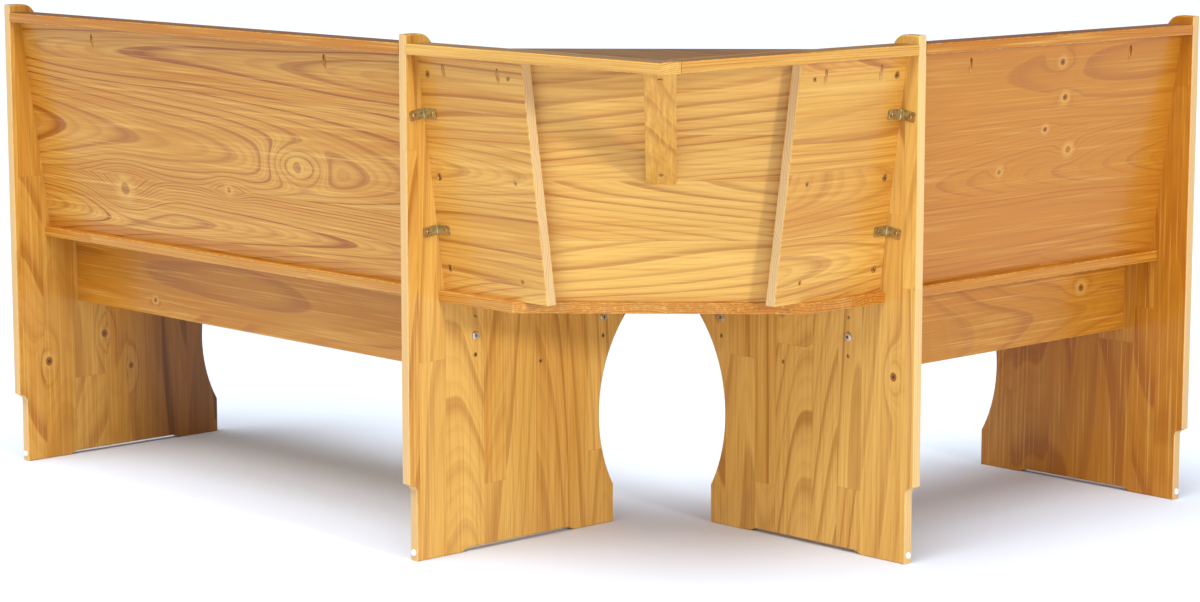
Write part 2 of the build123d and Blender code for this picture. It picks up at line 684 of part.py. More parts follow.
def corner_backrest():
    """Straight corner backrest on the long wall, between the panel and its free end."""
    board = extrude_along_x(backrest_outline(), (CORNER_BACK_END, CORNER_REACH))
    free_end = [edge for edge in long_edges(board, 300) if edge.center().X < CORNER_BACK_END + 1]
    board = fillet(max(free_end, key=lambda edge: edge.center().Y), EASE)
    cutters = copies(rod(CAM_RADIUS + SNUG, -1, CAM_DEPTH), cam_places())
    cutters += copies(cam_bolt(SNUG), cam_bolt_places())
    cutters += copies(flat_screw(*SCREW, CORNER_SCREW, SNUG), corner_back_screw_places())
    cutters += copies(pan_screw(*PAN_SCREW, BRACKET_SCREW_LENGTH, SNUG), bracket_screw_places())
    cutters += copies(dowel(SNUG), back_foot_dowels_corner())
    return board - cutters - pocket_cutters(corner_pocket_places())


def middle_foot_dowels():
    """Dowels under the diagonal backrest, on both sides of the diagonal."""
    distance = MIDDLE_FOOT + LEANING_BOARD / 2
    places = []
    for aside in (-120, 120):
        x = (distance + aside) / ROOT2
        depth = (distance - aside) / ROOT2
        places.append(aim(x, depth, SEAT_TOP - 12, dz=1))
    return places


def corner_middle_backrest():
    """Diagonal leaning backrest, mitred against the faces of the straight ones."""
    outline = outline_of(
        (MIDDLE_FOOT, SEAT_TOP),
        (MIDDLE_FOOT + LEANING_BOARD, SEAT_TOP),
        (MIDDLE_TOP + LEANING_BOARD, RAIL_BOTTOM),
        (MIDDLE_TOP, RAIL_BOTTOM),
    )
    board = extrude_across_diagonal(outline, 700)
    behind = outline_of(
        (-200, SEAT_TOP),
        (BACK_FOOT_DEPTH + LEANING_BOARD, SEAT_TOP),
        (BACK_TOP_DEPTH + LEANING_BOARD, RAIL_BOTTOM),
        (-200, RAIL_BOTTOM),
    )
    offcut = extrude_along_x(behind, (0, CORNER_REACH))
    screw_holes = copies(flat_screw(*SCREW, CORNER_SCREW, SNUG), corner_back_screw_places())
    cutters = [offcut] + screw_holes
    cutters += mirrored(cutters)
    cutters += copies(dowel(SNUG), middle_foot_dowels())
    cutters += copies(flat_screw(*SCREW, BRACE_SCREW, SNUG), [foot_brace_screw_place()])
    return board - cutters


def brace_slope():
    """Run and fall of the brace's underside, as a unit vector."""
    run = middle_distance(BRACE_FOOT_Z) - BRACE_TOP
    fall = RAIL_BOTTOM - BRACE_FOOT_Z
    length = hypot(run, fall)
    return run / length, fall / length


def brace_face_z(distance):
    """Height of the brace's underside at a distance along the diagonal."""
    run, fall = brace_slope()
    return RAIL_BOTTOM - (distance - BRACE_TOP) * fall / run


def foot_brace_screw_place():
    """Level screw through the brace's lower end into the diagonal backrest."""
    distance = middle_distance(BRACE_FOOT_Z) - 24
    z = brace_face_z(distance)
    return aim(distance / ROOT2, distance / ROOT2, z, dx=1, ddepth=1)


def top_brace_hole():
    return flat_screw(*SCREW, TOP_BRACE_SCREW, SNUG)


def corner_brace():
    """Slanting strut from under the rails' joint down to the diagonal backrest."""
    run, fall = brace_slope()
    top_length = BOARD / fall
    # the upper face starts further along and meets the backrest's rear face
    start = BRACE_TOP + top_length
    reach = (MIDDLE_TOP - start) / (run - LEAN * fall)
    upper_end = (start + reach * run, RAIL_BOTTOM - reach * fall)
    outline = outline_of(
        (BRACE_TOP, RAIL_BOTTOM),
        (middle_distance(BRACE_FOOT_Z), BRACE_FOOT_Z),
        upper_end,
        (start, RAIL_BOTTOM),
    )
    board = extrude_across_diagonal(outline, BRACE_WIDTH)
    wall_side = long_edges(board, 150).sort_by(Axis((0, 0, 0), (1, -1, 0)))[:2]
    board = fillet(wall_side, 1.5)
    foot_hole = flat_screw(*SCREW, BRACE_SCREW, SNUG) + rod(SCREW[1] + SNUG, -15, 0)
    top_hole = top_brace_hole() + rod(SCREW[1] + SNUG, -15, 0)
    return board - foot_brace_screw_place() * foot_hole - top_brace_screw_place() * top_hole


def seat_screw_places():
    """Screws through the shared panel into the corner seat's edge."""
    z = SEAT_TOP - BOARD / 2
    return [aim(BENCH_NEAR, depth, z, dx=-1) for depth in (140, 285, 430)]


def corner_seat():
    """Fixed seat: square board with clipped rear and front corners."""
    clip = SEAT_CLIP * ROOT2 - SEAT_REAR
    corners = [
        (CORNER_REACH, -SEAT_REAR),
        (clip, -SEAT_REAR),
        (SEAT_REAR, -clip),
        (SEAT_REAR, -CORNER_REACH),
        (SEAT_FRONT, -CORNER_REACH),
        (CORNER_REACH, -SEAT_FRONT),
    ]
    board = extrude(Pos(0, 0, SEAT_BOTTOM) * outline_of(*corners), amount=BOARD)
    level = board.edges().filter_by(Plane.XY).sort_by(Axis((0, 0, 0), (1, -1, 0)))
    board = fillet(level[-2:], 6)
    rear = board.edges().filter_by(Plane.XY).sort_by(Axis((0, 0, 0), (1, -1, 0)))[:6]
    board = fillet(rear, 2)
    holes = copies(flat_screw(*SCREW, LONG_SCREW, SNUG), seat_screw_places())
    holes += copies(dowel(SNUG), back_foot_dowels_corner())
    return board - holes - mirrored(holes) - copies(dowel(SNUG), middle_foot_dowels())


def shared_panel(bench):
    """Side panel between a bench and the corner unit, drilled for both."""
    cutters = bench.end_cutters()
    cutters += copies(flat_screw(*SCREW, LONG_SCREW, SNUG), seat_screw_places())
    cutters += copies(cam_bolt(SNUG), cam_bolt_places())
    cutters += copies(dowel(SNUG), corner_rail_dowel())
    cutters += copies(pan_screw(*PAN_SCREW, BRACKET_SCREW_LENGTH, SNUG), bracket_screw_places())
    cutters += copies(rod(2 + SNUG, 0, 10), [glide_place(CORNER_REACH)])
    return side_panel(CORNER_REACH, cutters)


def end_panel(bench):
    """Side panel at the free end of a bench."""
    cutters = bench.end_cutters() + copies(rod(2 + SNUG, 0, 10), [glide_place(bench.far)])
    return side_panel(bench.far, cutters)


def both_sides(solids):
    """A group on the long wall together with its mirror image on the short wall."""
    solids = list(solids)
    return group(solids + mirrored(solids))


def corner_nodes():
    """Every piece of the corner unit but its side panels."""
    backrest = corner_backrest()
    corner_dowels = copies(dowel(), corner_rail_dowel() + shelf_dowels() + back_foot_dowels_corner())
    single_dowels = copies(dowel(), rail_butt_dowel() + middle_foot_dowels())
    bracket_screw = pan_screw(*PAN_SCREW, BRACKET_SCREW_LENGTH)
    return {
        "corner_seat": corner_seat(),
        "corner_left_backrest": backrest,
        "corner_right_backrest": mirror(backrest, about=ACROSS_CORNER),
        "corner_middle_backrest": corner_middle_backrest(),
        "corner_left_rail": corner_rail_left(),
        "corner_right_rail": corner_rail_right(),
        "corner_shelf": corner_shelf(),
        "corner_brace": corner_brace(),
        "corner_angle_brackets": both_sides(copies(angle_bracket(), bracket_places())),
        "corner_bracket_screws": both_sides(copies(bracket_screw, bracket_screw_places())),
        "corner_cams": both_sides(copies(cam_housing(), cam_places())),
        "corner_cam_bolts": both_sides(copies(cam_bolt(), cam_bolt_places())),
        "corner_back_screws": both_sides(
            copies(flat_screw(*SCREW, CORNER_SCREW), corner_back_screw_places())
        ),
        "corner_seat_screws": both_sides(copies(flat_screw(*SCREW, LONG_SCREW), seat_screw_places())),
        "corner_pocket_screws": both_sides(copies(pocket_screw(), corner_pocket_places())),
        "corner_brace_screws": group([
            foot_brace_screw_place() * flat_screw(*SCREW, BRACE_SCREW),
            top_brace_screw_place() * flat_screw(*SCREW, TOP_BRACE_SCREW),
        ]),
        "corner_dowels": group(corner_dowels + mirrored(corner_dowels) + single_dowels),
    }


def build():
    """All pieces by name, in the room frame."""
    long_bench = Bench(LONG_REACH, hinges=3)
    short_bench = Bench(SHORT_REACH, hinges=2)
    nodes = {
        "long_end_panel": end_panel(long_bench),
        "long_corner_panel": shared_panel(long_bench),
        "short_corner_panel": mirror(shared_panel(short_bench), about=ACROSS_CORNER),
        "short_end_panel": mirror(end_panel(short_bench), about=ACROSS_CORNER),
    }
    for name, shape in long_bench.nodes().items():
        nodes[f"long_{name}"] = shape
    for name, shape in short_bench.nodes().items():
        nodes[f"short_{name}"] = mirror(shape, about=ACROSS_CORNER)
    nodes.update(corner_nodes())
    long_glides = copies(glide(), [glide_place(CORNER_REACH), glide_place(LONG_REACH)])
    short_glides = copies(glide(), [glide_place(CORNER_REACH), glide_place(SHORT_REACH)])
    nodes["rear_glides"] = group(long_glides + mirrored(short_glides))
    return nodes


os.makedirs("parts", exist_ok=True)
TO_ORIGIN = Location((-TOTAL_LENGTH / 2, TOTAL_WIDTH / 2, 0))
for node_name, node_shape in build().items():
    export_step(node_shape.moved(TO_ORIGIN), f"parts/{node_name}.step")
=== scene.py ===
"""Looks of a pine corner bench set: two storage benches joined by a corner unit.

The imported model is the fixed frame. Its boards keep their shape and get lacquered pine,
each board with its own staves, growth rings and knots; the screws, bolts and cams are made
again with detailed heads and stand in for the plain ones.
"""

import json
import logging
import math
from dataclasses import dataclass
from enum import Enum
from typing import Any, Callable, Optional, Union

import bmesh
import bpy
import numpy as np
from mathutils import Matrix, Vector

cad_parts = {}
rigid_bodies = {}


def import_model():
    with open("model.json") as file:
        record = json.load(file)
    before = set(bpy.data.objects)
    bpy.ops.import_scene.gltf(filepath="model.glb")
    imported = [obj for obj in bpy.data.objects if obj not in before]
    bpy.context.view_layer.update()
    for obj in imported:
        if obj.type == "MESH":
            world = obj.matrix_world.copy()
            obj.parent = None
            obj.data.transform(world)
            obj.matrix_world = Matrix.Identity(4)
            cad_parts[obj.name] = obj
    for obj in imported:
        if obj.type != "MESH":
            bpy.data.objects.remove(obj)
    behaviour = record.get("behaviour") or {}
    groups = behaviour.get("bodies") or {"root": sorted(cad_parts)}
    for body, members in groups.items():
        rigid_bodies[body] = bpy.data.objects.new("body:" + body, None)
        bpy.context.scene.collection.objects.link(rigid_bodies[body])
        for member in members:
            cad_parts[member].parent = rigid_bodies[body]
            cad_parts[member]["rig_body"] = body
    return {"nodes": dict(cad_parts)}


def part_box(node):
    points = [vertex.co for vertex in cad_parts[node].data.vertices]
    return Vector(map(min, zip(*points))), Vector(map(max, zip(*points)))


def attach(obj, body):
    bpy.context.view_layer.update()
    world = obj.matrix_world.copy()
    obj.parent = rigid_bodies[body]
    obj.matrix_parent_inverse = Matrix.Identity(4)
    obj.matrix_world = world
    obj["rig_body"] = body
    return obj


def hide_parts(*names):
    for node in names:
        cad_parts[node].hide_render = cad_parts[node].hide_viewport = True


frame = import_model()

LOG = logging.getLogger("bench_set")
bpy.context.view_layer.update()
MM = 0.001
LEAN = math.atan2(54.0, 385.0)  # tilt of the backrests
BRACE_RUN, BRACE_DROP = 0.77, 0.64  # slope of the brace under the corner

Colour = tuple[float, float, float, float]
Triple = tuple[float, float, float]
Number = Union[int, float, "Socket"]


def paint(red: int, green: int, blue: int) -> Colour:
    """Colour for a shader from the usual 0 to 255 values.

    Args:
        red: red part.
        green: green part.
        blue: blue part.

    Returns:
        The linear colour with full alpha.
    """
    parts = []
    for part in (red, green, blue):
        value = part / 255.0
        parts.append(value / 12.92 if value <= 0.04045 else ((value + 0.055) / 1.055) ** 2.4)
    return (parts[0], parts[1], parts[2], 1.0)


# ---- shader writing
class Socket:
    """A number in a shader; arithmetic on it adds Math nodes."""

    def __init__(self, graph: "Graph", output: bpy.types.NodeSocket) -> None:
        """Keep the graph and the output that carries the number."""
        self.graph = graph
        self.output = output

    def math(self, operation: str, *values: Number) -> "Socket":
        """Add one Math node: the operation by Blender's name, then its inputs in order."""
        return self.graph.number("ShaderNodeMath", {"operation": operation}, dict(enumerate(values)))

    def __add__(self, other: Number) -> "Socket":
        """Sum."""
        return self.math("ADD", self, other)

    def __radd__(self, other: Number) -> "Socket":
        """Sum, number first."""
        return self.math("ADD", other, self)

    def __sub__(self, other: Number) -> "Socket":
        """Difference."""
        return self.math("SUBTRACT", self, other)

    def __rsub__(self, other: Number) -> "Socket":
        """Difference, number first."""
        return self.math("SUBTRACT", other, self)

    def __mul__(self, other: Number) -> "Socket":
        """Product."""
        return self.math("MULTIPLY", self, other)

    def __rmul__(self, other: Number) -> "Socket":
        """Product, number first."""
        return self.math("MULTIPLY", other, self)

    def __truediv__(self, other: Number) -> "Socket":
        """Quotient."""
        return self.math("DIVIDE", self, other)

    def __pow__(self, other: Number) -> "Socket":
        """Power."""
        return self.math("POWER", self, other)

    def __abs__(self) -> "Socket":
        """Size without sign."""
        return self.math("ABSOLUTE", self)

    def __floor__(self) -> "Socket":
        """Whole part."""
        return self.math("FLOOR", self)

    def fract(self) -> "Socket":
        """Part after the point."""
        return self.math("FRACT", self)

    def sine(self) -> "Socket":
        """Sine of an angle in radians."""
        return self.math("SINE", self)

    def exp(self) -> "Socket":
        """Power of e."""
        return self.math("EXPONENT", self)

    def lowest(self, other: Number) -> "Socket":
        """Smaller of the two."""
        return self.math("MINIMUM", self, other)

    def highest(self, other: Number) -> "Socket":
        """Larger of the two."""
        return self.math("MAXIMUM", self, other)

    def step(self, start: float, end: float) -> "Socket":
        """Smooth step from 0 at start to 1 at end.

        Args:
            start: value that gives 0.
            end: value that gives 1; it may be below start.

        Returns:
            The step, held between 0 and 1.
        """
        ramp = {"interpolation_type": "SMOOTHSTEP", "clamp": True}
        if start <= end:
            return self.graph.number("ShaderNodeMapRange", ramp, {0: self, 1: start, 2: end}, "Result")
        return 1 - self.graph.number("ShaderNodeMapRange", ramp, {0: self, 1: end, 2: start}, "Result")


class Graph:
    """Node tree of one material, written node by node."""

    def __init__(self, name: str) -> None:
        """Start an empty material.

        Args:
            name: its name.
        """
        self.material = bpy.data.materials.new(name)
        self.material.use_nodes = True
        self.tree = self.material.node_tree
        self.tree.nodes.clear()
        self.column = 0

    def node(self, kind: str, settings: dict[str, Any], inputs: dict[Union[int, str], Any]) -> bpy.types.Node:
        """Add any node.

        Args:
            kind: type of the node.
            settings: properties that are set before its inputs.
            inputs: values or links by the input's name or place.

        Returns:
            The node.
        """
        made = self.tree.nodes.new(kind)
        made.location = (180 * (self.column % 24), -220 * (self.column // 24))
        self.column += 1
        for key, value in settings.items():
            setattr(made, key, value)
        for key, value in inputs.items():
            socket = made.inputs[key]
            if isinstance(value, Socket):
                value = value.output
            if isinstance(value, bpy.types.NodeSocket):
                self.tree.links.new(value, socket)
            else:
                socket.default_value = value
        return made

    def number(self, kind: str, settings: dict[str, Any], inputs: dict[Union[int, str], Any],
               output: Union[int, str] = 0) -> Socket:
        """Add a node as `node` does and wrap one of its number outputs."""
        return Socket(self, self.node(kind, settings, inputs).outputs[output])

    def vector(self, operation: str, *values: Any, **named: Any) -> bpy.types.NodeSocket:
        """Add a Vector Math node: its vectors in order, other inputs by name."""
        inputs: dict[Union[int, str], Any] = {**dict(enumerate(values)), **named}
        return self.node("ShaderNodeVectorMath", {"operation": operation}, inputs).outputs["Vector"]

    def dot(self, vector: bpy.types.NodeSocket, axis: Triple) -> Socket:
        """Length of a vector along a fixed axis."""
        settings = {"operation": "DOT_PRODUCT"}
        return self.number("ShaderNodeVectorMath", settings, {0: vector, 1: axis}, "Value")

    def join(self, x: Number, y: Number, z: Number) -> bpy.types.NodeSocket:
        """Vector from three numbers."""
        return self.node("ShaderNodeCombineXYZ", {}, {0: x, 1: y, 2: z}).outputs[0]

    def split(self, vector: bpy.types.NodeSocket) -> tuple[Socket, Socket, Socket]:
        """Three numbers of a vector or colour."""
        parts = self.node("ShaderNodeSeparateXYZ", {}, {0: vector}).outputs
        return Socket(self, parts[0]), Socket(self, parts[1]), Socket(self, parts[2])

    def place(self) -> bpy.types.NodeSocket:
        """Place in the set's frame, in millimetres."""
        return self.vector("SCALE", self.node("ShaderNodeTexCoord", {}, {}).outputs["Object"], Scale=1 / MM)

    def noise(self, vector: bpy.types.NodeSocket, detail: float = 2.0, scale: float = 1.0,
              roughness: float = 0.5) -> bpy.types.Node:
        """Add a noise texture; detail counts its finer layers and roughness is their weight."""
        inputs = {"Vector": vector, "Detail": detail, "Scale": scale, "Roughness": roughness}
        return self.node("ShaderNodeTexNoise", {"noise_dimensions": "3D"}, inputs)

    def chance(self, vector: bpy.types.NodeSocket) -> bpy.types.Node:
        """Random value and colour that are the same wherever the vector is the same."""
        return self.node("ShaderNodeTexWhiteNoise", {"noise_dimensions": "3D"}, {"Vector": vector})

    def mix(self, factor: Number, first: Any, second: Any) -> bpy.types.NodeSocket:
        """Mix two colours; the factor is the share of the second one."""
        settings = {"data_type": "RGBA", "blend_type": "MIX", "clamp_factor": True}
        return self.node("ShaderNodeMix", settings, {0: factor, 6: first, 7: second}).outputs[2]

    def close(self, shader_inputs: dict[str, Any], height: Optional[Socket] = None,
              relief: float = 0.0) -> bpy.types.Material:
        """Add the surface shader, and a bump where a height is given.

        Args:
            shader_inputs: constants and links of the Principled shader.
            height: height field in units of `relief`.
            relief: height in metres that the field's 1 stands for.

        Returns:
            The finished material.
        """
        shader = self.node("ShaderNodeBsdfPrincipled", {}, shader_inputs)
        if height is not None:
            bump = self.node("ShaderNodeBump", {}, {"Height": height, "Distance": relief, "Strength": 1.0})
            self.tree.links.new(bump.outputs[0], shader.inputs["Normal"])
        self.node("ShaderNodeOutputMaterial", {}, {0: shader.outputs[0]})
        return self.material


# ---- board placing
class Wall(Enum):
    """The wall that a board stands along."""

    LONG = "long"
    SHORT = "short"

    @property
    def along(self) -> Vector:
        """Direction along the wall, away from the room corner."""
        return Vector((1.0, 0.0, 0.0)) if self is Wall.LONG else Vector((0.0, -1.0, 0.0))

    @property
    def depth(self) -> Vector:
        """Direction away from the wall, into the room."""
        return Vector((0.0, -1.0, 0.0)) if self is Wall.LONG else Vector((1.0, 0.0, 0.0))


class Lie(Enum):
    """How a board lies: which way its grain, its width and its thickness run."""

    SHEET = "level, grain along the wall"
    EDGE = "on edge, grain along the wall"
    LEANING = "backrest, grain along the wall"
    UPRIGHT = "side panel, grain upwards"
    DIAGONAL = "backrest across the room corner"
    STRUT = "sloping brace under the corner"

    def axes(self, wall: Wall) -> tuple[Vector, Vector, Vector]:
        """Directions of the grain, the width and the thickness.

        Args:
            wall: the wall that the board stands along.

        Returns:
            Three directions in the frame; the width's is level with the thing it measures.
        """
        up = Vector((0.0, 0.0, 1.0))
        tilted = wall.depth * math.cos(LEAN) + up * math.sin(LEAN)
        across_corner = Vector((1.0, 1.0, 0.0)).normalized()
        out_of_corner = Vector((1.0, -1.0, 0.0)).normalized()
        slope = (out_of_corner * BRACE_RUN - up * BRACE_DROP).normalized()
        return {
            Lie.SHEET: (wall.along, wall.depth, up),
            Lie.EDGE: (wall.along, up, wall.depth),
            Lie.LEANING: (wall.along, up, tilted),
            Lie.UPRIGHT: (up, wall.depth, wall.along),
            Lie.DIAGONAL: (across_corner, up, (out_of_corner * math.cos(LEAN) + up * math.sin(LEAN))),
            Lie.STRUT: (slope, across_corner, slope.cross(across_corner)),
        }[self]


@dataclass(frozen=True)
class Knot:
    """One knot; its place is along the grain and across it, in millimetres."""

    along: float
    across: float
    radius: float
    darkness: float = 0.6
    pull: float = 2.4  # growth rings that bend round it
    reach: float = 3.0  # how far it bends them, in knot radii


@dataclass(frozen=True)
class Timber:
    """How one board was cut and glued up; lengths in millimetres."""

    seed: int
    stave: float = 95.0  # width of one stave
    shift: float = 0.0  # moves the glue lines across the board
    joint: float = 9000.0  # length between finger joints
    ring: float = 5.5  # width of a growth ring
    pith: tuple[float, float] = (6.0, 42.0)
    spread: float = 70.0  # how far the pith may lie to one side
    aside: float = 0.0  # how far it lies to one side anyway
    slope: float = 0.06  # how fast the rings run out of the face
    warp: float = 10.0  # wander of the grain
    wave: float = 14.0  # swelling of the rings along the grain
    tone: float = 0.0  # below 0 paler, above 0 deeper
    stripes: float = 0.55  # difference between staves
    contrast: float = 0.8  # how dark the late wood is
    fine: float = 0.16  # how clear the thin lines between the rings are
    streaks: float = 1.0  # how clear the long streaks are
    hearts: float = 0.3  # how brown the heartwood staves are
    ruddy: float = 0.0  # redder wood all over
    curl: float = 130.0  # width over which the grain wanders
    length: float = 900.0  # length over which it wanders
    knots: tuple[Knot, ...] = ()
    top_shade: float = 0.0  # painted shade: dark brown on its upward face, where the tops get little light
    pale_ends: float = 0.0
    pale_rear: float = 0.0  # sapwood edge towards the wall
    front_shade: float = 0.0  # painted shade: darker brown away from the wall, where the seat shades the panel's inner face


# ---- finishes
@dataclass(frozen=True)
class Pine:
    """Honey pine under a satin clear lacquer."""

    pale: Colour = paint(238, 190, 98)
    honey: Colour = paint(204, 138, 36)
    late: Colour = paint(156, 80, 12)
    heart: Colour = paint(184, 106, 22)
    knot: Colour = paint(146, 80, 24)
    # brown of the painted shade away from the wall
    brown: Colour = paint(132, 76, 34)
    pit: Colour = paint(64, 32, 12)
    # dark brown of the painted shade on upward faces
    top_shade_brown: Colour = paint(64, 30, 20)
    raw_end: Colour = paint(232, 198, 140)
    # pale colour of the eased edges: part wear, part painted highlight
    wear_and_highlight_colour: Colour = paint(244, 206, 128)
    roughness: float = 0.42
    coat: float = 0.25
    coat_roughness: float = 0.18
    ior: float = 1.45
    specular: float = 0.3
    relief: float = 0.00012  # depth of the grain, in metres
    edge_wear_and_highlight: float = 0.3  # how pale the board edges are: part wear, part painted highlight
    end_rings: float = 0.45  # how dark the rings are on the ends
    front: tuple[float, float] = (210.0, 330.0)  # where the painted shade away from the wall begins

    def material(self, name: str, timber: Timber, lie: Lie, wall: Wall) -> bpy.types.Material:
        """Material of one board.

        Args:
            name: name of the material.
            timber: how the board was cut.
            lie: how it lies.
            wall: the wall it stands along.

        Returns:
            The finished material.
        """
        graph = Graph(name)
        grain, width, thickness = (tuple(axis) for axis in lie.axes(wall))
        texture = graph.node("ShaderNodeTexCoord", {}, {})
        place = graph.vector("SUBTRACT", texture.outputs["Object"], tuple(room_corner()))
        place = graph.vector("SCALE", place, Scale=1 / MM)
        along, across, through = (graph.dot(place, axis) for axis in (grain, width, thickness))
        facing = texture.outputs["Normal"]
        rings = GrowthRings(graph, timber, along, across, through)
        late = rings.late_wood()
        colour = self.add_knots(rings, self.timber_colour(rings, late))
        end = abs(graph.dot(facing, grain)).step(0.75, 0.95)
        flat = abs(graph.dot(facing, thickness))
        # Eased edges turn pale: part wear, part painted highlight.
        edge = flat.step(0.12, 0.45) * flat.step(0.99, 0.8)
        wear_and_highlight = edge * rings.speckle.step(0.42, 0.62) * self.edge_wear_and_highlight
        colour = graph.mix(end * timber.pale_ends, colour, self.raw_end)
        colour = graph.mix(end * late * self.end_rings, colour, self.late)
        if timber.pale_rear:
            rear = graph.dot(facing, width).step(-0.3, -0.85)
            colour = graph.mix(rear * timber.pale_rear, colour, self.raw_end)
        # Painted shade under the seat: the part away from the wall turns brown.
        if timber.front_shade:
            front = across.step(*self.front)
            colour = graph.mix(front * timber.front_shade, colour, graph.mix(late, self.brown, self.pit))
        colour = graph.mix(wear_and_highlight, colour, self.wear_and_highlight_colour)
        coat: Number = self.coat
        # Painted shade on upward faces: dark brown and less coat, where the tops get little light.
        if timber.top_shade:
            top = graph.dot(facing, (0.0, 0.0, 1.0)).step(0.55, 0.92)
            coat = self.coat - top * (self.coat * timber.top_shade)
            top_shade_brown = graph.mix(rings.cloud * 0.5, self.top_shade_brown, colour)
            colour = graph.mix(top * timber.top_shade, colour, top_shade_brown)
        rough = self.roughness + late * -0.05 + (rings.speckle - 0.5) * 0.16 + end * 0.2 + wear_and_highlight * 0.2
        height = late * 0.5 + rings.fibre * 0.6 + rings.seam * -0.6
        return graph.close({
            "Base Color": colour,
            "Roughness": rough,
            "IOR": self.ior,
            "Specular IOR Level": self.specular,
            "Coat Weight": coat,
            "Coat Roughness": self.coat_roughness,
        }, height, self.relief)

    def timber_colour(self, rings: "GrowthRings", late: Socket) -> bpy.types.NodeSocket:
        """Colour of the clear wood between the knots.

        Args:
            rings: the board's growth rings.
            late: share of late wood.

        Returns:
            The colour.
        """
        graph, timber = rings.graph, rings.timber
        depth_of_tone = 0.5 + timber.tone + (rings.cloud - 0.5) * 1.1 + (rings.luck - 0.5) * timber.stripes
        colour = graph.mix(depth_of_tone, self.pale, self.honey)
        colour = graph.mix((rings.luck * 7.3).fract().step(0.55, 0.95) * timber.hearts, colour, self.heart)
        colour = graph.mix(timber.ruddy, colour, self.heart)
        colour = graph.mix(late * timber.contrast, colour, self.late)
        colour = graph.mix(rings.streak.step(0.45, 0.7) * (0.34 * timber.streaks), colour, self.heart)
        colour = graph.mix(rings.streak.step(0.48, 0.26) * (0.45 * timber.streaks), colour, self.pale)
        colour = graph.mix(rings.fibre.step(0.5, 0.85) * 0.22, colour, self.late)
        return graph.mix(rings.seam * 0.2, colour, self.knot)

    def add_knots(self, rings: "GrowthRings", colour: bpy.types.NodeSocket) -> bpy.types.NodeSocket:
        """Paint the knots over the clear wood.

        Args:
            rings: the board's growth rings.
            colour: colour of the clear wood.

        Returns:
            The colour with its knots.
        """
        graph = rings.graph
        for knot in rings.timber.knots:
            reach = rings.distance(knot)
            halo = reach.step(3.4, 1.0) * 0.35
            core = reach.step(1.12, 0.85)
            bark = (1 - abs(reach - 1.0) * 5).highest(0.0)
            centre = reach.step(0.62, 0.15)
            colour = graph.mix(halo * (1 - core), colour, self.pale)
            colour = graph.mix(core * (0.35 + 0.55 * knot.darkness), colour, self.knot)
            colour = graph.mix(bark * 0.6 * knot.darkness, colour, self.pit)
            colour = graph.mix(centre * knot.darkness, colour, self.pit)
        return colour


